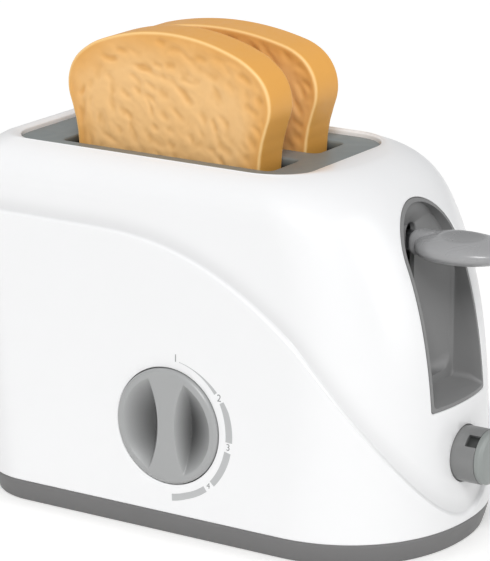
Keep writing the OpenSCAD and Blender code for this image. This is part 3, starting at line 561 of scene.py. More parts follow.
def plastic(name, tone, rough, grain=2500, depth=0.01, variation=0.03, coat=0.0, marks=0.04, shade=0.0,
            deep=None):
    """Moulded plastic with a fine grain, a slight change of tone and handling marks in its gloss.
    Its tone falls by shade, as painted shade, where the piece's own "shade" attribute says so, or between two
    heights."""
    f = Finish(name, rough)
    clouds = f.grain(grain, 28, 80)
    made = f.mottled(clouds, scaled(tone, 1 - variation), scaled(tone, 1 + variation))
    # painted shade: the tone darkens between the two heights, going down
    if deep:
        split = f.add("ShaderNodeSeparateXYZ", f.coordinates())
        where = f.span(split.outputs["Z"], 0, 1, deep[0] * MM, deep[1] * MM)
        made = f.blend(where, made, scaled(tone, 1 - shade))
    # painted shade: the tone darkens where the "shade" attribute is high
    elif shade:
        made = f.blend(f.attribute("shade"), made, scaled(tone, 1 - shade))
    f.surface(Base_Color=made, Roughness=f.span(clouds["Marks"], rough - marks, rough + marks, 0.3, 0.7))
    f.bump(clouds["Grain"], 0.35, depth)
    if coat:
        f.surface(Coat_Weight=coat, Coat_Roughness=0.12)
    return f.material


def metal(name, tone, rough, stretch):
    """Drawn steel, whose fine lines follow stretch"""
    f = Finish(name, rough, 1.0)
    stretched = f.get("ShaderNodeMapping", Vector=f.coordinates(), Scale=stretch)
    lines = f.add("ShaderNodeTexNoise", Vector=stretched, Scale=900.0, Detail=4.0).outputs["Fac"]
    f.surface(Base_Color=f.blend(lines, scaled(tone, 0.8), scaled(tone, 1.15)),
              Roughness=f.span(lines, rough - 0.08, rough + 0.1))
    f.bump(lines, 0.25, 0.01)
    return f.material


def toasted_plastic(name, crumb, toasted, crust):
    """A slice: tan in the middle, toasted towards its edge, with painted shade in its hollows, a painted
    highlight along its rounded rim and crust round the side"""
    f = Finish(name, 0.42)
    clouds = f.grain(1800, 60, 140)
    side = f.attribute("side")
    patchy = f.get("ShaderNodeMath", f.span(clouds["Mottle"], -0.2, 0.2, 0.3, 0.7), f.attribute("toasting"),
                   operation="ADD")
    face = f.blend(f.span(patchy, 0, 0.85, 0.1, 1.05), crumb, toasted)
    # painted shade: darker where the relief is low
    shaded_face = f.blend(f.span(f.attribute("relief"), 0.62, 0.0, 0.0, 0.66), face, scaled(toasted, 0.86))
    # painted highlight: lighter along the rounded rim
    rim = f.blend(f.span(side, 0, 1, 0.0, 0.5), shaded_face, scaled(crumb, 1.2))
    f.surface(Base_Color=f.blend(f.span(side, 0, 1, 0.5, 1.0), rim, crust),
              Roughness=f.span(clouds["Marks"], 0.38, 0.5, 0.3, 0.7), Specular_IOR_Level=0.3)
    f.bump(clouds["Grain"], 0.3, 0.015)
    return f.material


def make_finishes():
    c = bpy.context.scene.toaster_colours
    # shade=0.14 is the painted shade along the swooping panel's edge
    plastic("White shell", c.shell, 0.30, 1700, 0.004, 0.003, 0.2, marks=0.012, shade=0.14)
    plastic("Base grey", c.base, 0.5, 2600, 0.02, 0.03)
    top = bpy.context.scene.toaster_housing.plate_top / MM
    # painted shade: the plate turns dark inside the slots' chutes, from 0.7 to 4 mm below its face
    plastic("Plate grey", c.plate, 0.42, 2600, 0.018, 0.03, shade=0.93, deep=(top - 0.7, top - 4))
    plastic("Liner grey", c.liner, 0.45, 2600, 0.02, 0.03)
    # shade=0.3 is the painted shade in the lever's thumb dish
    plastic("Lever grey", c.lever, 0.28, 2200, 0.01, 0.03, 0.15, shade=0.3)
    # shade=0.85 is the painted shade in the knob's finger wells
    plastic("Knob grey", c.knob, 0.34, 2200, 0.01, 0.025, 0.1, shade=0.85)
    # shade on the button's barrel and cap is the painted shade inside the barrel, seen through its notch
    plastic("Button grey", c.button, 0.34, 2200, 0.012, 0.03, 0.1, shade=0.7)
    plastic("Cap grey", c.cap, 0.36, 2200, 0.012, 0.03, shade=0.85)
    plastic("Scale print", c.scale, 0.5, 3200, 0.004, 0.04)
    plastic("Number print", scaled(c.scale, 0.5), 0.5, 3200, 0.004, 0.04)
    plastic("Inner plastic", c.inner, 0.5, 2600, 0.015, 0.04)
    plastic("Latch plastic", c.lever, 0.5, 2600, 0.015, 0.04)
    metal("Drawn steel along X", c.steel, 0.3, (0.05, 1, 1))
    metal("Drawn steel along Y", c.steel, 0.3, (1, 0.05, 1))
    metal("Drawn steel along Z", c.steel, 0.3, (1, 1, 0.05))
    metal("Spring wire", scaled(c.steel, 0.8), 0.34, (1, 1, 1))
    toasted_plastic("Toasted plastic", c.crumb, c.toasted, c.crust)


def finish_of(name):
    """The finish of that name; the first call makes them all"""
    if "White shell" not in bpy.data.materials:
        make_finishes()
    return bpy.data.materials[name]


# ---- Housing ----

SHELL_STEPS = (64, 60, 16, 18)
STEP_PROFILE = ((-0.6, 1.0), (-0.2, 0.985), (0.08, 0.92), (0.32, 0.78), (0.58, 0.58), (0.84, 0.37),
                (1.08, 0.19), (1.32, 0.07), (1.6, 0.015), (2.0, 0.0))


def shell_rings(form):
    steps = SHELL_STEPS
    creases = form.creases(steps)

    def sloped(heights, off):
        return [form.place(kind, i, heights[k], off, steps) for k, (kind, i) in enumerate(form.order(steps))]

    rings = [form.ring(form.skirt_z, form.step_out - 0.35, steps)]
    first, last = STEP_PROFILE[0][0], STEP_PROFILE[-1][0]
    low_rows, up_rows = 22, 26
    for i in range(low_rows):
        heights = [mix(form.skirt_z + 0.35, c + first, i / low_rows) for c in creases]
        rings.append(sloped(heights, form.step_out))
    for dz, out in STEP_PROFILE:
        rings.append(sloped([c + dz * form.step_rise / 1.5 for c in creases], form.step_out * out))
    roll_start = form.top_z - form.side_roll
    for i in range(1, up_rows + 1):
        t = 1 - (1 - i / up_rows) ** 1.25
        rings.append(sloped([mix(c + last, roll_start, t) for c in creases], 0))
    for angle in (4, 9, 14, 19, 24, 29, 34, 39, 44, 49, 54, 59, 64, 69):
        rings.append(form.ring(form.top_z - form.side_roll * (1 - math.sin(turn(angle))), 0, steps))
    outer, inner = rings[-1], form.plate_ring(form.top_z - 1.4, 0.9, steps)
    for i in range(1, 9):
        t = i / 8
        swell = (0, 0, 0.45 * math.sin(math.pi * t))
        rings.append([tuple(mix(a[k], b[k], t) + swell[k] for k in range(3)) for a, b in zip(outer, inner)])
    for off, drop in ((0.62, 1.44), (0.4, 1.58), (0.25, 1.8), (0.2, 2.1)):
        rings.append(form.plate_ring(form.top_z - drop, off, steps))
    seat = form.plate_top - 3
    for z, off in ((seat, 0.2), (seat, -3), (seat - 2.4, -3)):
        rings.append(form.plate_ring(z, off, steps))
    for i in range(8):
        rings.append(form.ring(mix(seat - 2.4, form.skirt_z, (i / 7) ** 1.3), -form.wall, steps))
    return rings


def arch(half, low, centre, r, dense):
    """An outline across the recess, with an arched top and rounded lower corners"""
    foot, corner, rise = 8 * dense, 6 * dense, 14 * dense
    points = [(mix(-half + r, half - r, i / foot), low) for i in range(foot)]
    points += arc(half - r, low + r, r, -90, 0, corner)
    points += [(half, mix(low + r, centre, i / rise)) for i in range(rise)]
    points += arc(0, centre, half, 0, 180, 36 * dense)
    points += [(-half, mix(centre, low + r, i / rise)) for i in range(rise)]
    return points + arc(-half + r, low + r, r, 180, 270, corner)


def on_end(form, sink, outline):
    """The outline laid on the lever end, sunk below its surface"""
    return [(form.end_surface(y, z) - sink, y, z) for y, z in outline]


def on_front(form, sink, outline):
    """The outline laid on the front panel, sunk below its surface"""
    return [(x, -(form.half_width(z) + form.step_out) + sink, z) for x, z in outline]


def lipped(form, laid, outline_at, axis, far, deep, lip):
    """A cutter that goes in along the axis from far outside, through the skin, with a rounded lip"""
    rings = [across(axis, far, outline_at(lip)), laid(form, -0.02, outline_at(lip))]
    for i in range(1, 6):
        t = turn(18 * i)
        rings.append(laid(form, lip * (1 - math.cos(t)), outline_at(lip * (1 - math.sin(t)))))
    return loft("lipped", rings + [across(axis, deep, outline_at(0))])


def shade_crease(form, shell):
    """Paints shade onto the shell along the swooping panel's edge, reaching further above it than below"""
    crest = [form.place(kind, i, z + 1.2, 0, SHELL_STEPS)
             for (kind, i), z in zip(form.order(SHELL_STEPS), form.creases(SHELL_STEPS))]
    edge = kdtree.KDTree(len(crest))
    for k, point in enumerate(crest):
        edge.insert(point, k)
    edge.balance()
    above, below, tones = 4.5, 0.8, []
    for v in shell.data.vertices:
        p = v.co / MM
        near, _, gap = edge.find(p)
        reach = above if p.z > near.z else below
        tones.append(math.exp(-(gap / reach) ** 2) if gap < 12 else 0.0)
    shade_by(shell, tones)


class TOASTER_OT_housing(bpy.types.Operator):
    """Builds the white moulded housing with its swooping panel and openings"""

    bl_idname = "toaster.housing"
    bl_label = "Housing"

    def execute(self, context):
        form = Form()
        shell = loft("shell", shell_rings(form), wrap=True)
        dial, low, inside = (form.dial_x, form.dial_z), form.skirt_z, form.wall_x - form.wall
        boss_top, (ear_y, ear_z) = 44.2, form.ears[1]
        ear_top = form.end_surface(ear_y + form.ear_r, ear_z + form.ear_r) - 0.8
        added = [rod("z", low + 0.2, boss_top, *at, form.boss_r) for at in form.bosses]
        added += [rod("x", form.liner_x + 2.4, ear_top, *at, form.ear_r) for at in form.ears]
        added.append(rod("y", form.panel_y + 1, form.well_y + 1.9, *dial, form.knob_r + 2.3, 96))
        added += [rod("y", form.panel_y + 1.4, form.well_y + 4, *at, 3.2) for at in form.bracket]
        added.append(rod("x", inside - 2, form.wall_x - 1.25, 0, form.button_z, form.button_r + 3))
        carve(shell, added, "UNION")

        def recess(grow):
            return arch(20.4 + grow, form.recess_z[0] - grow, form.recess_z[1], 1.2 + grow, 2)

        def hole(grow):
            return arc(0, form.button_z, form.button_r + 0.35 + grow, 0, 360, 96)

        def well(grow):
            return arc(*dial, form.knob_r + 0.4 + grow, 0, 360, 160)

        far = form.x_end + 9
        cutters = [lipped(form, on_end, recess, "x", far, form.liner_x - 2, 0.7),
                   lipped(form, on_end, hole, "x", far, inside - 3, 0.2),
                   lipped(form, on_front, well, "y", form.panel_y - 5, form.well_y, 0.3),
                   rod("y", form.panel_y, form.well_y + 3, *dial, SHAFT_BORE_R)]
        cutters += [rod("z", low - 1, low + 15, *at, PILOT_R) for at in form.bosses]
        carve(shell, cutters)
        # painted shade along the panel's edge
        shade_crease(form, shell)
        finish(shell, "shell", finish_of("White shell"), "root", "white_shell", "housing", sharp=30)
        return {"FINISHED"}


class TOASTER_OT_base(bpy.types.Operator):
    """Builds the grey base that the housing stands on"""

    bl_idname = "toaster.base"
    bl_label = "Base"

    def execute(self, context):
        form = Form()
        steps = (48, 48, 14, 12)
        out = form.step_out - 0.3
        rows = [(0, out - 2.9), (0.06, out - 2.55), (0.22, out - 2.28), (0.5, out - 2.08), (0.9, out - 1.95),
                (4, out - 0.95), (7.2, out - 0.12), (form.skirt_z - 0.5, out), (form.skirt_z - 0.2, out - 0.12),
                (form.skirt_z - 0.1, out - 0.4), (form.skirt_z - 0.1, -form.wall - 0.35),
                (form.skirt_z + 3.5, -form.wall - 0.35), (form.skirt_z + 3.5, -form.wall - 1.85),
                (3.2, -form.wall - 1.85)]
        base = loft("base", [form.ring(z, off, steps) for z, off in rows])
        carve(base, [rod("z", 2.2, form.skirt_z, *at, form.boss_r) for at in form.bosses]
              + [rod("z", 2.2, 12, *at, 4.6) for at in form.rods], "UNION")
        screwed = form.bosses + form.feet
        head_well = [(-1, 3.55), (0, 3.55), (0.4, 3.15), (1.9, 3.15)]
        wells = [turned("well", "z", at, head_well, 48) for at in screwed]
        wells += [rod("z", 1, 20, *at, CLEAR_R, 32) for at in screwed]
        wells += [rod("z", form.skirt_z, form.skirt_z + 8.5, *at, form.boss_r + 0.35) for at in form.bosses]
        wells += [rod("z", 5.2, 20, *at, ROD_BORE_R, 32) for at in form.rods]
        carve(base, wells)
        finish(base, "base_skirt", finish_of("Base grey"), "root", "base_grey", "base")
        return {"FINISHED"}


class TOASTER_OT_top_plate(bpy.types.Operator):
    """Builds the grey top plate with its two slots and their chutes"""

    bl_idname = "toaster.top_plate"
    bl_label = "Top plate"

    def execute(self, context):
        form = Form()
        mid, half = (form.plate_x[0] + form.plate_x[1]) / 2, (form.plate_x[1] - form.plate_x[0]) / 2
        low, top, socket_low = form.plate_top - 3, form.plate_top, 120.4

        def outline(inset, z):
            return round_rect(half - inset, form.plate_half - inset, form.plate_r - inset, mid, 0, z, 24)

        plate = loft("plate", [outline(0, low), outline(0, top - 0.5), outline(0.08, top - 0.25),
                               outline(0.25, top - 0.08), outline(0.5, top)])
        hl, hw, chute_low = form.slot_len / 2, form.slot_w / 2, form.plate_top - 42
        added, cut = [], []
        for y in (-form.slot_pitch / 2, form.slot_pitch / 2):
            def around(grow, z):
                return round_rect(hl + grow, hw + grow, 3 + grow, form.slot_x, y, z)

            added.append(loft("chute", [around(1.3, chute_low), around(1.3, low + 1)]))
            lip = 0.95
            edge = [around(lip * (1 - math.cos(t)), top - lip + lip * math.sin(t))
                    for t in (turn(15 * i) for i in range(7))]
            cut.append(loft("slot", [around(0, chute_low - 1), *edge, around(lip, top + 2)]))
        added += [rod("z", low - 2.6, low + 1, *at, 3) for at in form.posts]
        added += [rod("z", socket_low, low + 1, *at, 4) for at in form.rods]
        cut += [rod("z", socket_low - 1.4, low - 1.3, *at, ROD_BORE_R, 32) for at in form.rods]
        cut += [rod("z", low - 4, top - 1.2, *at, PILOT_R, 24) for at in form.posts]
        carve(plate, added, "UNION")
        carve(plate, cut)
        finish(plate, "slot_plate", finish_of("Plate grey"), "root", "plate_grey", "top_plate")
        return {"FINISHED"}


# ---- Lever and its recess ----

SCOOP_HALF = 20.2
# The scoop's rings from its lip inwards: depth below the skin, inset, rise and corner radius
SCOOP_LIP = ((0.2, 1.25, 1.45, 1.5), (0.32, 1.4, 1.6, 1.6), (0.8, 1.48, 1.72, 1.7))
# and then: distance from its back, gap behind the skin, inset, rise and corner radius
SCOOP_THROAT = ((99, 0, 1.9, 3.3, 2.2), (11.8, 0.15, 1.9, 3.3, 2.2), (11.45, 0.2, 2.02, 3.5, 2.6),
                (11.2, 0.24, 2.35, 4.3, 3.8), (10.85, 0.28, 2.95, 6.0, 6.2), (10.5, 0.3, 3.2, 6.5, 7),
                (10.1, 0.32, 3.65, 6.55, 7))
# How far the paddle stands out from the lever end, and its thumb dish: the radius of its ball, its
# depth, its place along the paddle and the radius of its edge, inside which the dish takes painted shade
PADDLE_REACH = 17.45
DISH_R, DISH_DEEP, DISH_SHIFT, DISH_EDGE = 40, 1.25, -1, 9.8


class TOASTER_OT_recess(bpy.types.Operator):
    """Builds the grey scoop that lines the lever's opening"""

    bl_idname = "toaster.recess"
    bl_label = "Lever recess"

    def execute(self, context):
        form = Form()
        (low, top), back = form.recess_z, form.liner_x

        def behind(x, gap, outline):
            """The outline at x, or as far behind the skin as the scoop's lip where that is lower"""
            return [(min(x, max(form.end_surface(y, z) - 5, back + 3.1) - gap), y, z) for y, z in outline]

        def opening(inset, rise, r):
            return arch(SCOOP_HALF - inset, low + rise, top, r, 3)

        outside, slot_low = opening(0, 0.2, 1), form.arm_slot_low
        slot = arch(3.5, slot_low, 120, 1.5, 3)
        rings = [on_end(form, sink, opening(*size)) for sink, *size in SCOOP_LIP]
        rings += [behind(back + x, gap, opening(*size)) for x, gap, *size in SCOOP_THROAT]
        rings += [across("x", back + 2.2, arch(3.8, slot_low, 120.1, 1.6, 3)), across("x", back + 1.9, slot),
                  across("x", back, slot), across("x", back, outside), on_end(form, 0.2, outside)]
        scoop = loft("scoop", rings, wrap=True)
        ears = []
        for y, z in form.ears:
            hull = arc(abs(y), z, form.ear_r, -78, 78, 13, True) + arc(19.2, z, 5.4, 72, 288, 18, True)
            hull = [(math.copysign(u, y), v) for u, v in hull]
            ears.append(loft("ear", [across("x", back, hull), across("x", back + 2.2, hull)]))
        carve(scoop, ears, "UNION")
        carve(scoop, [rod("x", back - 1, back + 4, *at, CLEAR_R, 24) for at in form.ears])
        finish(scoop, "lever_scoop", finish_of("Liner grey"), "root", "liner_grey", "lever_channel")
        return {"FINISHED"}


class TOASTER_OT_lever(bpy.types.Operator):
    """Builds the flattened grey paddle with its neck and thumb dish"""

    bl_idname = "toaster.lever"
    bl_label = "Lever"

    def execute(self, context):
        form = Form()
        n, m, half = 144, 120, form.paddle_len / 2
        mid = form.x_end + PADDLE_REACH - half
        dish_x = mid + DISH_SHIFT
        dish_z = form.arm_z + form.paddle_t / 2 - DISH_DEEP + DISH_R

        def dished(x, y, z):
            """The point, lowered into the thumb dish where it lies inside the dish's ball"""
            inside = DISH_R ** 2 - (x - dish_x) ** 2 - y ** 2
            if inside <= 0 or z < form.arm_z:
                return (x, y, z)
            return (x, y, soft_min(z, dish_z - math.sqrt(inside), 0.35))

        def upright(x, b, h, power):
            """A ring across the lever, b to each side and h up and down"""
            return [dished(x, b * signed_power(math.cos(t), power),
                           form.arm_z + h * signed_power(math.sin(t), power))
                    for t in (turn(360 * k / n) for k in range(n))]

        rings = []
        for i in range(m + 1):
            t = turn(3 + 174 * i / m)
            x = -half * math.cos(t)
            b = form.paddle_w / 2 * math.sin(t) ** 0.82 * (1 - 0.1 * x / half)
            h = form.paddle_t / 2 * math.sin(t) ** 0.7 * (1 - 0.12 * x / half)
            rings.append(upright(mid + x, b, h, 0.9))
        paddle = loft("paddle", rings)
        root, neck_w, neck_h = mid - half - 2.7, 5.6, 5
        neck = []
        for degrees in range(84, -1, -12):
            back, narrow = 2.6 * math.sin(turn(degrees)), (1 - math.cos(turn(degrees))) ** 1.2
            neck.append(upright(root + 2.6 - back, neck_w - 1.9 * narrow, neck_h - 1.7 * narrow,
                                mix(0.8, 0.9, degrees / 90)))
        neck += [upright(root + x, neck_w, neck_h, 0.8) for x in (4, 6, 9.7)]
        carve(paddle, [loft("neck", neck)], "UNION")
        screw_x = mid - 9
        carve(paddle, [block((60, -2.5, form.arm_z - 3.7), (mid - 2.8, 2.5, form.arm_z + 3.7)),
                       rod("z", form.arm_z - 12, form.arm_z, screw_x, 0, CLEAR_R, 24),
                       rod("z", form.arm_z - 12, form.arm_z - 4.4, screw_x, 0, 2.6, 32)])
        # painted shade inside the thumb dish, full a little inside its edge
        tones = []
        for v in paddle.data.vertices:
            x, y, z = v.co / MM
            edge = DISH_EDGE - math.hypot(x - dish_x, y)
            tones.append(ease(clamp(edge / 2.5)) if z > form.arm_z else 0.0)
        shade_by(paddle, tones)
        finish(paddle, "lever_paddle", finish_of("Lever grey"), "lift", "part_grey", "lever_handle", sharp=20)
        return {"FINISHED"}


# ---- Slices ----

def slice_outline(form, drop):
    """Half an outline: flanks that widen upwards, a shoulder bulge and a low crown, up to the middle"""
    foot, neck_z = form.slice_foot / 2 - 3, form.slice_h * 0.62
    neck, bulge_r = form.slice_foot / 2 + 1.2, 17.0
    bulge_x, bulge_z = form.slice_crown / 2 - bulge_r, form.slice_h - 7.5 - bulge_r
    top, reach = form.slice_h - drop, bulge_x + bulge_r / 2
    rise = top - bulge_z - 15.5
    crown_r = (reach * reach + rise * rise) / (2 * rise)
    crown_t = math.degrees(math.asin(reach / crown_r))
    side = [(foot - 2 + 2 * math.sin(turn(15 * k)), 2 - 2 * math.cos(turn(15 * k))) for k in range(6)]
    side += [(mix(foot, neck, i / 12), mix(2, neck_z, i / 12)) for i in range(12)]
    side += arc(bulge_x, bulge_z, bulge_r, -22, 58, 14, True)
    return side + arc(0, top - crown_r, crown_r, 90 - crown_t, 90, 14, True)[1:]


def even(points, count):
    """The closed outline, slightly smoothed, with its points spread evenly"""
    n = len(points)
    points = [((points[k - 1][0] + 2 * points[k][0] + points[(k + 1) % n][0]) / 4,
               (points[k - 1][1] + 2 * points[k][1] + points[(k + 1) % n][1]) / 4) for k in range(n)]
    along = [0.0]
    for k in range(n):
        a, b = points[k], points[(k + 1) % n]
        along.append(along[-1] + math.hypot(b[0] - a[0], b[1] - a[1]))
    made, k = [], 0
    for i in range(count):
        s = along[-1] * i / count
        while along[k + 1] < s:
            k += 1
        t = (s - along[k]) / max(1e-9, along[k + 1] - along[k])
        a, b = points[k % n], points[(k + 1) % n]
        made.append((mix(a[0], b[0], t), mix(a[1], b[1], t)))
    return made


def crumb_relief(x, z, form, seed):
    """Relief of the moulded crumb, from 0 in the hollows to 1: short curved strokes over soft swells"""
    chance = random.Random(seed)
    height = np.full(x.shape, 0.7)
    for layer, pitch in enumerate((23.0, 12.5, 7.5)):
        angle = chance.uniform(0, 3.1)
        u, v = x * math.cos(angle) + z * math.sin(angle), z * math.cos(angle) - x * math.sin(angle)
        wave = np.sin(2 * math.pi * u / pitch + 1.7 * np.sin(2 * math.pi * v / (pitch * 1.3) + layer))
        height += 0.065 * wave * np.sin(2 * math.pi * v / (pitch * 0.9) + 1.3 * np.sin(2 * math.pi * u / pitch))
    spacing = 6.2
    wide, down = int(form.slice_crown / spacing) + 1, int(form.slice_h / spacing) + 1
    for i, j in grid(range(wide), range(down)):
        cx = (i - wide / 2 + 0.5 + chance.uniform(-0.42, 0.42)) * spacing
        cz = (j + 0.5 + chance.uniform(-0.42, 0.42)) * spacing
        edge = max(abs(cx) / (form.slice_crown / 2), cz / form.slice_h)
        leaning = -42 + 48 * mathnoise.noise(Vector((cx * 0.045, cz * 0.045, seed)))
        if cx < -form.slice_crown * 0.3:
            leaning = 78
        elif cz > form.slice_h * 0.8:
            leaning = -8 if cx < 10 else -34
        angle = turn(leaning + chance.uniform(-24, 24))
        reach, width = chance.uniform(2.4, 5.4), chance.uniform(1.1, 1.7)
        depth = chance.uniform(0.28, 0.62) * mix(0.35, 1.2, clamp((edge - 0.3) / 0.55))
        bend = chance.uniform(-0.12, 0.12)
        if chance.random() < 0.12:
            continue
        near = (np.abs(x - cx) < 8) & (np.abs(z - cz) < 8)
        dx, dz = x[near] - cx, z[near] - cz
        u, v = dx * math.cos(angle) + dz * math.sin(angle), dz * math.cos(angle) - dx * math.sin(angle)
        v = v - bend * u * u / 2
        fade = np.clip(1.25 - np.abs(u) / reach, 0, 1)
        fade = fade * fade * (3 - 2 * fade)
        height[near] += fade * depth * (0.55 * np.exp(-((v + 2.0 * width) / (1.3 * width)) ** 2)
                                        - np.exp(-(v / width) ** 2))
    return np.clip(height, 0, 1)


def make_slice(form, name, y, drop, seed):
    """A slice whose two faces are rings round their middle, joined by a rounded edge and a band"""
    count, rows, r, half_t = 340, 84, 1.4, form.slice_t / 2
    side = slice_outline(form, drop)
    full = even(side + [(-x, z) for x, z in reversed(side[:-1])], count)
    mid_z = form.slice_h * 0.48

    def inset(amount):
        kx, kz = 1 - 2 * amount / form.slice_crown, 1 - 2 * amount / form.slice_h
        return np.array([(px * kx, amount + pz * kz) for px, pz in full])

    def ring(x, depth, z, *marks):
        """A ring of points and its values of toasting, relief and side"""
        return [np.stack([np.broadcast_to(row, count) for row in rows_of], 1)
                for rows_of in ((form.slot_x + x, depth, form.rest_z + z), marks)]

    edge_x, edge_z = inset(r).T
    shares = np.maximum((np.arange(rows + 1) / rows) ** 0.82, 0.012)[:, None]
    x, z = shares * edge_x, mid_z + shares * (edge_z - mid_z)
    gap = (1 - shares) * np.hypot(edge_x, edge_z - mid_z)
    toasting = np.clip(1 - gap / (8 + 9 * np.clip((z - 30) / 50, 0, 1)), 0, 1)
    calm = np.clip(gap / 2.2, 0, 1)
    halves = []
    for way in (-1, 1):
        relief = crumb_relief(x, z, form, seed + way) * calm + 0.85 * (1 - calm)
        flat = y + way * (half_t + form.crumb * (relief - 1))
        half = [ring(x[i], flat[i], z[i], toasting[i], relief[i], 0.0) for i in range(rows + 1)]
        for i in range(1, 7):
            t = turn(15 * i)
            ring_x, ring_z = inset(r * (1 - math.sin(t))).T
            fall = 0.12 * form.crumb if i == 1 else 0
            depth = y + way * (half_t - r * (1 - math.cos(t)) - fall)
            half.append(ring(ring_x, depth, ring_z, 1.0, 1.0, i / 6))
        halves.append(half)
    ring_x, ring_z = inset(0).T
    band = [ring(ring_x, y + mix(-1, 1, i / 8) * (half_t - r), ring_z, 1.0, 1.0, 1.0) for i in range(1, 8)]
    strips = halves[0] + band + halves[1][::-1]
    piece = loft(name, [points.tolist() for points, _ in strips], weld=False)
    marks = np.concatenate([*(marks for _, marks in strips), strips[0][1][:1], strips[-1][1][:1]])
    for k, attribute in enumerate(("toasting", "relief", "side")):
        layer = piece.data.attributes.new(attribute, "FLOAT", "POINT")
        layer.data.foreach_set("value", marks[:, k].tolist())
    return piece


class TOASTER_OT_slices(bpy.types.Operator):
    """Builds the two toy slices with their moulded crumb"""

    bl_idname = "toaster.slices"
    bl_label = "Slices"

    def execute(self, context):
        form = Form()
        for name, node, side, drop, seed in (("slice_front", "toast_front", -1, 0, 11),
                                             ("slice_rear", "toast_rear", 1, form.crown_drop, 47)):
            piece = make_slice(form, name, side * form.slot_pitch / 2, drop, seed)
            finish(piece, name, finish_of("Toasted plastic"), name, "toast", node, sharp=60)
        return {"FINISHED"}


# ---- Dial ----

# Half width of the grip bar, and the centres of the balls that shape the wells' flanks and dish
GRIP_HALF, FLANK_X, FLANK_RISE, DISH_RISE = 3.8, 45.2, 28.0, 26.5


def well_depth(x, z, rim):
    """Depth of the knob's finger wells: a flank at the grip bar and a dish from the rim"""
    flank_r, dish_r = math.hypot(FLANK_X - GRIP_HALF, FLANK_RISE), math.hypot(rim, DISH_RISE)
    flank = math.sqrt(max(0.0, flank_r ** 2 - (FLANK_X - abs(x)) ** 2 - z * z)) - FLANK_RISE
    dish = math.sqrt(max(0.0, dish_r ** 2 - x * x - z * z)) - DISH_RISE
    return max(0.0, soft_min(flank, dish, 0.4))


def knob_mesh(form):
    """The knob's face is a polar grid whose rows follow the edges of the wells"""
    face, back, rim = form.panel_y - form.knob_out, form.well_y - 0.8, form.knob_r - 3
    steps, inner_rows, well_rows = 360, 6, 34
    edge_r = FLANK_X - GRIP_HALF
    columns = []
    for k in range(steps):
        t = turn(360 * k / steps)
        c, s = math.cos(t), math.sin(t)
        discriminant = (FLANK_X * c) ** 2 - (FLANK_X ** 2 - edge_r ** 2)
        start = FLANK_X * abs(c) - math.sqrt(discriminant) if discriminant > 0 else rim
        start = min(start, rim)
        radii = [start * (i + 1) / inner_rows for i in range(inner_rows)]
        radii += [mix(start, rim, (1 - math.cos(math.pi * (i + 1) / well_rows)) / 2) for i in range(well_rows)]
        column = [(r * c, well_depth(r * c, r * s, rim), r * s) for r in radii]
        for inward, drop in ((1.25, 0), (1.0, 0.06), (0.55, 0.32), (0.2, 0.68), (0.05, 0.95), (0, 1.3)):
            column.append(((form.knob_r - inward) * c, drop, (form.knob_r - inward) * s))
        column.append((form.knob_r * c, back - face - 0.3, form.knob_r * s))
        column.append(((form.knob_r - 0.3) * c, back - face, (form.knob_r - 0.3) * s))
        columns.append(column)
    m = len(columns[0])
    points = [(form.dial_x + x, face + d, form.dial_z + z) for column in columns for x, d, z in column]
    points += [(form.dial_x, face, form.dial_z), (form.dial_x, back, form.dial_z)]
    first, last = len(points) - 2, len(points) - 1
    faces = []
    for k in range(steps):
        a, b = k * m, ((k + 1) % steps) * m
        faces.append((first, a, b))
        faces += [(a + i, a + i + 1, b + i + 1, b + i) for i in range(m - 1)]
        faces.append((a + m - 1, last, b + m - 1))
    return solid("knob", points, faces)


# The scale's curve, which starts as a thin line: angle from the top, and how far its edges lie
# outside the scale's inner radius
SCALE_BANDS = (
    ((11, 0.3, 0.5), (25, 0.3, 0.65), (40, 0.3, 1.15), (52.5, 0.25, 1.8)),
    ((61, 0.55, 2.55), (70, 0.3, 3.05), (82, 0.05, 3.05), (93.4, 0, 3.0)),
    ((101.8, 0, 2.95), (117, 0.15, 3.0), (133.6, 0.4, 3.0)),
    ((141.8, 0.3, 2.8), (161.7, 0.1, 2.7), (175.8, 0.5, 3.3)),
)
# Numeral, angle from the top and height of its type
SCALE_NUMBERS = (("1", 7.2, 4.2), ("2", 57.0, 4.0), ("3", 97.5, 3.8), ("4", 137.6, 3.3))
INK = 0.03


def on_scale(form, angle, out):
    """A place on the front panel, by its angle and how far it lies outside the scale's inner radius"""
    r = form.scale_r + out
    return form.dial_x + r * math.sin(turn(angle)), form.dial_z + r * math.cos(turn(angle))


def ribbon(form, rows):
    """A printed strip on the front panel from rows like those of SCALE_BANDS"""
    points, faces = [], []
    for angle, low, high in rows:
        for out, lift in ((low, INK), (high, INK), (high, -INK), (low, -INK)):
            points += on_front(form, -lift, [on_scale(form, angle, out)])
    n = len(rows)
    for i in range(n - 1):
        a, b = 4 * i, 4 * i + 4
        faces += [(a + k, a + (k + 1) % 4, b + (k + 1) % 4, b + k) for k in range(4)]
    faces += [(3, 2, 1, 0), (4 * n - 4, 4 * n - 3, 4 * n - 2, 4 * n - 1)]
    return solid("band", points, faces)


def numeral(form, text, angle, size):
    """A plain printed numeral, upright, laid on the front panel"""
    curve = bpy.data.curves.new("numeral", "FONT")
    curve.body = text
    curve.size = size
    curve.align_x, curve.align_y = "CENTER", "CENTER"
    curve.extrude = INK
    curve.resolution_u = 6
    words = linked("numeral", curve)
    mesh = evaluated(words)
    bpy.data.objects.remove(words)
    cx, cz = on_scale(form, angle, 1.4)
    for v in mesh.vertices:
        v.co = Vector(*on_front(form, -v.co.z, [(cx + v.co.x, cz + v.co.y)])) * MM
    outward(mesh)
    return linked("numeral", mesh)


def join(name, parts):
    """Joins loose meshes into one object"""
    work = bmesh.new()
    for part in parts:
        work.from_mesh(part.data)
        bpy.data.objects.remove(part)
    mesh = bpy.data.meshes.new(name)
    work.to_mesh(mesh)
    work.free()
    return linked(name, mesh)


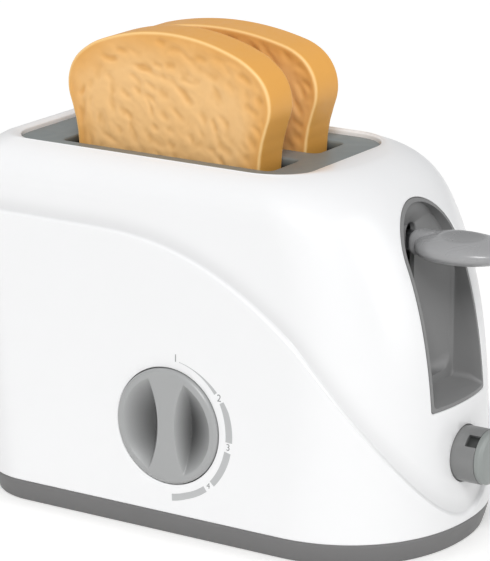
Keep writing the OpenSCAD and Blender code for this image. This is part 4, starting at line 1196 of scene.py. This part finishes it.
class TOASTER_OT_dial(bpy.types.Operator):
    """Builds the dial's knob and the scale printed round it"""

    bl_idname = "toaster.dial"
    bl_label = "Dial"

    def execute(self, context):
        form = Form()
        knob = knob_mesh(form)
        back = form.well_y - 0.8
        carve(knob, [rod("y", back - 1, form.well_y + 6, form.dial_x, form.dial_z, SHAFT_R)], "UNION")
        carve(knob, [rod("y", back + 1, form.well_y + 7, form.dial_x, form.dial_z, PILOT_R, 24)])
        # painted shade in the finger wells, darker the deeper the well
        rim, full_shade_depth, tones = form.knob_r - 3, 5.2, []
        for v in knob.data.vertices:
            p = v.co / MM - Vector((form.dial_x, form.panel_y - form.knob_out, form.dial_z))
            inside = math.hypot(p.x, p.z) < rim and p.y < full_shade_depth + 1
            tones.append(clamp(p.y / full_shade_depth) ** 0.9 if inside else 0.0)
        shade_by(knob, tones)
        finish(knob, "knob", finish_of("Knob grey"), "dial", "part_grey", "dial_knob", sharp=26)

        parts = []
        for rows in SCALE_BANDS:
            fine = []
            for (a0, low0, high0), (a1, low1, high1) in zip(rows, rows[1:]):
                steps = max(2, int((a1 - a0) / 1.5))
                fine += [(mix(a0, a1, i / steps), mix(low0, low1, i / steps), mix(high0, high1, i / steps))
                         for i in range(steps)]
            fine.append(rows[-1])
            parts.append(ribbon(form, fine))
        numbers = [numeral(form, *number) for number in SCALE_NUMBERS]
        for name, prints, tone in (("dial_scale", parts, "Scale print"),
                                   ("dial_numbers", numbers, "Number print")):
            finish(join(name, prints), name, finish_of(tone), "root", "part_grey")
        return {"FINISHED"}


# ---- Button ----

class TOASTER_OT_button(bpy.types.Operator):
    """Builds the button's barrel and cap"""

    bl_idname = "toaster.button"
    bl_label = "Button"

    def execute(self, context):
        form = Form()
        r, tip, z = form.button_r, form.wall_x + 9, form.button_z
        inner, back, stop = r - 1.6, form.wall_x - 10, form.wall_x - form.wall - 2
        profile = [(back, 2.4), (back, r - 0.2), (back + 0.2, r), (stop - 2.2, r), (stop - 2.2, r + 1.8),
                   (stop - 2.0, r + 2), (stop - 0.4, r + 2), (stop - 0.2, r + 1.8), (stop - 0.2, r),
                   (tip - 0.35, r), (tip - 0.1, r - 0.1), (tip, r - 0.35), (tip, inner), (back + 2, inner),
                   (back + 2, 2.4)]
        barrel = turned("barrel", "x", (0, z), profile, 128, wrap=True)
        notch = block((tip - 4.7, -2.6, r - 2.4), (tip + 0.1, 2.6, r + 1))
        notch.data.transform(Matrix.Translation((0, 0, z * MM)) @ Euler((turn(42), 0, 0)).to_matrix().to_4x4())
        carve(barrel, [notch])
        # painted shade on the barrel's inner surfaces
        inside = [math.hypot(v.co.y, v.co.z - z * MM) < (r - 0.45) * MM and v.co.x < (tip - 0.3) * MM
                  for v in barrel.data.vertices]
        shade_by(barrel, [float(v) for v in inside])
        finish(barrel, "button_barrel", finish_of("Button grey"), "button", "part_grey", "end_button")

        c = r - 0.3
        profile = [(-6, inner - 1.5), (-6, inner - 0.1), (-0.15, inner - 0.1), (0, inner), (0, c - 0.25),
                   (0.08, c - 0.08), (0.25, c), (1.75, c), (2.0, c - 0.1), (2.2, c - 0.3), (2.75, c - 0.98),
                   (2.93, c - 1.25), (3, c - 1.6), (3, 4.0), (2.98, 0.6), (0.6, 0.6), (0.6, inner - 1.5)]
        cap = turned("cap", "x", (0, z), [(tip + x, q) for x, q in profile], 128, wrap=True)
        carve(cap, [rod("x", tip + 0.6, tip + 2.98, 0, z, 1.0, 48)], "UNION")
        # painted shade on the cap's plug inside the barrel
        shade_by(cap, [float(v.co.x < (tip - 0.1) * MM) for v in cap.data.vertices])
        finish(cap, "button_cap_face", finish_of("Cap grey"), "button", "cap_grey", "button_cap")
        return {"FINISHED"}


# ---- Screws ----

def sprinkle(tree, end, places, instance, material, **turned_to):
    """Puts the instance at each place, as one realized mesh with its material"""
    placed = tree.get("GeometryNodeInstanceOnPoints", Points=places, Instance=instance, **turned_to)
    real = tree.get("GeometryNodeRealizeInstances", Geometry=placed)
    tree.put(end[0], tree.get("GeometryNodeSetMaterial", Geometry=real, Material=material))
    return tree.tree


def screw_tree():
    """Geometry Nodes that put a cross-headed screw at each place, its core along the facing's +Z and
    its domed head behind"""
    tree, start, end = new_group("Cross-head screws", "GeometryNodeTree", [
        ("Places", "Geometry"), ("Head Radius", "Float"), ("Head Height", "Float"), ("Core Radius", "Float"),
        ("Core Length", "Float"), ("Facing", "Vector"), ("Material", "Material")], [("Screws", "Geometry")])
    places, head_r, head_h, core_r, core_l, facing, material = (start[i] for i in range(7))

    def times(a, factor, added=0.0):
        return tree.get("ShaderNodeMath", a, factor, added, operation="MULTIPLY_ADD")

    def raised(geometry, z):
        up = tree.get("ShaderNodeCombineXYZ", Z=z)
        return tree.get("GeometryNodeTransform", Geometry=geometry, Translation=up)

    def combine(operation, *meshes):
        node = tree.add("GeometryNodeMeshBoolean", operation=operation, solver="MANIFOLD")
        first = "Mesh 1" if operation == "DIFFERENCE" else "Mesh 2"
        for k, mesh in enumerate(meshes):
            tree.put(node.inputs["Mesh 2" if k else first], mesh)
        return node.outputs["Mesh"]

    dome_r = times(head_r, 1.65)
    head = raised(tree.get("GeometryNodeMeshCylinder", Vertices=48, Radius=head_r, Depth=head_h),
                  times(head_h, -0.5))
    dome = raised(tree.get("GeometryNodeMeshUVSphere", Segments=48, Rings=24, Radius=dome_r),
                  times(head_h, -1, dome_r))
    core_depth = times(head_h, 0.5, core_l)
    core = raised(tree.get("GeometryNodeMeshCylinder", Vertices=32, Radius=core_r, Depth=core_depth),
                  times(head_h, -0.25, times(core_l, 0.5)))
    long, thin = times(head_r, 1.15), times(head_r, 0.26)
    slots = [raised(tree.get("GeometryNodeMeshCube", Size=tree.get("ShaderNodeCombineXYZ", X=x, Y=y, Z=head_h)),
                    times(head_h, -1)) for x, y in ((long, thin), (thin, long))]
    screw = combine("DIFFERENCE", combine("UNION", combine("INTERSECT", head, dome), core), *slots)
    return sprinkle(tree, end, places, screw, material, Rotation=facing)


def spring_tree():
    """Geometry Nodes that wind a spring up from each place"""
    tree, start, end = new_group("Coil springs", "GeometryNodeTree", [
        ("Places", "Geometry"), ("Radius", "Float"), ("Wire Radius", "Float"), ("Height", "Float"),
        ("Turns", "Float"), ("Material", "Material")], [("Springs", "Geometry")])
    places, radius, wire_r, height, turns, material = (start[i] for i in range(6))
    helix = tree.get("GeometryNodeCurveSpiral", Resolution=40, Rotations=turns, Start_Radius=radius,
                     End_Radius=radius, Height=height)
    wire = tree.get("GeometryNodeCurvePrimitiveCircle", Resolution=10, Radius=wire_r)
    coil = tree.get("GeometryNodeCurveToMesh", Curve=helix, Profile_Curve=wire, Fill_Caps=True)
    return sprinkle(tree, end, places, coil, material)


def grow(name, places, tree, values):
    """The mesh that a tree grows at the places"""
    piece = solid(name, places, [])
    step = piece.modifiers.new("grow", "NODES")
    step.node_group = tree
    for socket in tree.interface.items_tree:
        if socket.in_out == "INPUT" and socket.name in values:
            step[socket.identifier] = values[socket.name]
    bake(piece)
    if len(piece.data.polygons) < 50 * len(places):
        raise RuntimeError(f"{name} came out empty")
    outward(piece.data)
    return piece


class TOASTER_OT_springs(bpy.types.Operator):
    """Builds the two springs that lift the carriage, as fixed coils at one length; the real springs shorten as
    it goes down
    """

    bl_idname = "toaster.springs"
    bl_label = "Lift springs"

    def execute(self, context):
        form = Form()
        low, high, wire, travel = 12.0, 96.0, 0.45, 48.0
        material = finish_of("Spring wire")
        springs = grow("springs", [(form.rod_x, y, low + wire) for y in (-13, 13)], spring_tree(), {
            "Radius": 3.7 * MM, "Wire Radius": wire * MM, "Height": (high - low - 2 * wire) * MM, "Turns": 12.0,
            "Material": material})
        finish(springs, "lift_spring_coils", material, "root", "spring_steel", "lift_springs", sharp=50)
        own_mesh(springs)
        return {"FINISHED"}


# Where a screw's core points: its turn in degrees, and the axis that its steel is drawn along
SCREW_WAYS = {"up": ((0, 0, 0), "Z"), "right": ((0, 90, 0), "X"), "left": ((0, -90, 0), "X"),
              "forward": ((90, 0, 0), "Y")}


class TOASTER_OT_screws(bpy.types.Operator):
    """Builds every screw with its domed head and cross recess"""

    bl_idname = "toaster.screws"
    bl_label = "Screws"

    def execute(self, context):
        form = Form()
        low, well, mid_z = form.plate_top - 5.6, 1.9, form.dial_z
        kinds = (
            ("base_screws", "root", "up", 2.8, 20, across("z", well, form.bosses)),
            ("frame_screws", "root", "up", 2.8, 4.7, across("z", well, form.feet)),
            ("plate_screws", "root", "up", 4.2, 4.2, across("z", low, form.posts)),
            ("channel_screws", "root", "right", 2.8, 10, across("x", form.liner_x, form.ears)),
            ("bracket_screws", "root", "forward", 2.8, 5.5, across("y", form.well_y + 5.6, form.bracket)),
            ("arm_screws", "lift", "left", 2.5, 5.5, [(43.5, y, form.arm_z) for y in (-6.2, 6.2)]),
            ("handle_screw", "lift", "up", 2.3, 6.1, [(87.5, 0, form.arm_z - 4.4)]),
            ("dial_screw", "dial", "forward", 2.8, 8, [(form.dial_x, form.well_y + 8.5, mid_z)]),
        )
        tree = screw_tree()
        for node, body, way, head, long, places in kinds:
            facing, along = SCREW_WAYS[way]
            material = finish_of("Drawn steel along " + along)
            head_height = 0.8 if node == "handle_screw" else 1.6
            values = {"Head Radius": head * MM, "Head Height": head_height * MM, "Core Radius": 1.35 * MM,
                      "Core Length": long * MM, "Facing": [turn(t) for t in facing], "Material": material}
            finish(grow(node, places, tree, values), node + "_cross", material, body, "steel", node)
        return {"FINISHED"}


# ---- Pieces carried over ----

CARRIED = {
    "Inner plastic": ("latch_frame", "dial_bracket", "carriage", "click_wheel"),
    "Latch plastic": ("latch_hook",),
    "Drawn steel along X": ("lever_arm", "push_rod", "click_spring"),
    "Drawn steel along Y": ("latch_pin",),
    "Drawn steel along Z": ("guide_rods",),
    "Spring wire": ("latch_spring", "button_spring"),
}


class TOASTER_OT_inner_pieces(bpy.types.Operator):
    """Gives the inner pieces that are carried over their finishes"""

    bl_idname = "toaster.inner_pieces"
    bl_label = "Inner pieces"

    def execute(self, context):
        for name, nodes in CARRIED.items():
            for node in nodes:
                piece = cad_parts[node]
                piece.data.materials.clear()
                piece.data.materials.append(finish_of(name))
        return {"FINISHED"}


# ---- Stage ----

AZIMUTH, ELEVATION, DISTANCE, LENS = 32.68, 15.92, 1224.4, 199.2
LOOK_AT = (-1.94, 0.0, 89.04)
FLOOR_GLOW, FLOOR_HALF = 0.24, 6000


def white_floor(tone):
    """A pale floor, with a little light of its own for the camera and for reflections"""
    f = Finish("Floor", 0.9)
    f.surface(Base_Color=f.mottled(f.grain(300, 6, 20), scaled(tone, 0.995), scaled(tone, 1.005)))
    rays = f.add("ShaderNodeLightPath").outputs
    seen = f.get("ShaderNodeMath", rays["Is Camera Ray"], rays["Is Glossy Ray"], operation="MAXIMUM")
    glow = f.get("ShaderNodeEmission", Strength=f.get("ShaderNodeMath", seen, FLOOR_GLOW, operation="MULTIPLY"))
    f.put(f.nodes["Material Output"].inputs["Surface"], f.get("ShaderNodeAddShader", f.shader.outputs[0], glow))
    return f.material


def towards(azimuth, elevation):
    """The way that light falls from an azimuth, counted from the front to the lever end, and an elevation"""
    level = math.cos(turn(elevation))
    return (-math.sin(turn(azimuth)) * level, math.cos(turn(azimuth)) * level, -math.sin(turn(elevation)))


def aimed(name, data, place, way):
    """A lamp or a camera at its place, looking the given way"""
    piece = linked(name, data)
    piece.location = place
    piece.rotation_euler = Vector(way).to_track_quat("-Z", "Y").to_euler()
    return piece


def lamp(name, kind, energy, way, place=(0, 0, 1), **values):
    data = bpy.data.lights.new(name, kind)
    data.energy = energy
    for key, value in values.items():
        setattr(data, key, value)
    return aimed(name, data, place, way)


class TOASTER_OT_stage(bpy.types.Operator):
    """Builds the pale floor, the soft studio light and the camera"""

    bl_idname = "toaster.stage"
    bl_label = "Stage"

    def execute(self, context):
        scene = context.scene
        corners = ((-FLOOR_HALF, -FLOOR_HALF), (FLOOR_HALF, -FLOOR_HALF), (FLOOR_HALF, FLOOR_HALF),
                   (-FLOOR_HALF, FLOOR_HALF))
        floor = solid("floor", across("z", -0.05, corners), [(0, 1, 2, 3)])
        floor.data.materials.append(white_floor(scene.toaster_colours.floor))

        world = bpy.data.worlds.new("Studio")
        world.use_nodes = True
        tree = Tree(world.node_tree)
        soft = tree.get("ShaderNodeBackground", (0.98, 0.99, 1.0, 1.0), 0.55)
        white = tree.get("ShaderNodeBackground", (1.0, 1.0, 1.0, 1.0), 1.0)
        rays = tree.add("ShaderNodeLightPath").outputs
        seen = tree.get("ShaderNodeMath", rays["Is Camera Ray"], rays["Is Transmission Ray"],
                        operation="MAXIMUM")
        both = tree.get("ShaderNodeMixShader", seen, soft, white)
        tree.put(tree.nodes["World Output"].inputs["Surface"], both)
        scene.world = world

        lamp("Key", "SUN", 1.66, towards(32, 40), angle=turn(24))
        softbox = lamp("Softbox", "AREA", 5.0, towards(98, 22), place=(1.15, 0.16, 0.55), shape="RECTANGLE",
                       size=0.8, size_y=1.1)
        softbox.visible_diffuse = False
        softbox.visible_camera = False

        data = bpy.data.cameras.new("Camera")
        data.lens = LENS
        data.sensor_fit = "VERTICAL"
        data.sensor_height = 36.0
        data.clip_end = 50.0
        way = Vector(towards(AZIMUTH, ELEVATION))
        scene.camera = aimed("Camera", data, (Vector(LOOK_AT) - way * DISTANCE) * MM, way)
        scene.view_settings.view_transform = "Standard"
        return {"FINISHED"}


OPERATORS = (
    TOASTER_OT_housing, TOASTER_OT_base, TOASTER_OT_top_plate, TOASTER_OT_recess, TOASTER_OT_lever,
    TOASTER_OT_slices, TOASTER_OT_dial, TOASTER_OT_button, TOASTER_OT_springs, TOASTER_OT_screws,
    TOASTER_OT_inner_pieces, TOASTER_OT_stage,
)


class TOASTER_PT_panel(bpy.types.Panel):
    """Lists the toaster's sizes, colours and pieces"""

    bl_idname = "TOASTER_PT_panel"
    bl_label = "Toy Toaster"
    bl_space_type = "VIEW_3D"
    bl_region_type = "UI"
    bl_category = "Toaster"

    def draw(self, context):
        scene = context.scene
        for title, group in (("Housing", scene.toaster_housing), ("Moving pieces", scene.toaster_moving),
                             ("Colours", scene.toaster_colours)):
            box = self.layout.box()
            box.label(text=title)
            for name in group.__annotations__:
                box.prop(group, name)
        for operator in OPERATORS:
            self.layout.operator(operator.bl_idname)


CLASSES = (HousingSizes, MovingSizes, Colours, *OPERATORS, TOASTER_PT_panel)


def register():
    for item in CLASSES:
        bpy.utils.register_class(item)
    bpy.types.Scene.toaster_housing = bpy.props.PointerProperty(type=HousingSizes)
    bpy.types.Scene.toaster_moving = bpy.props.PointerProperty(type=MovingSizes)
    bpy.types.Scene.toaster_colours = bpy.props.PointerProperty(type=Colours)


def unregister():
    del bpy.types.Scene.toaster_colours
    del bpy.types.Scene.toaster_moving
    del bpy.types.Scene.toaster_housing
    for item in reversed(CLASSES):
        bpy.utils.unregister_class(item)


def main():
    register()
    for operator in OPERATORS:
        group, name = operator.bl_idname.split(".")
        getattr(getattr(bpy.ops, group), name)()


if __name__ == "__main__":
    main()
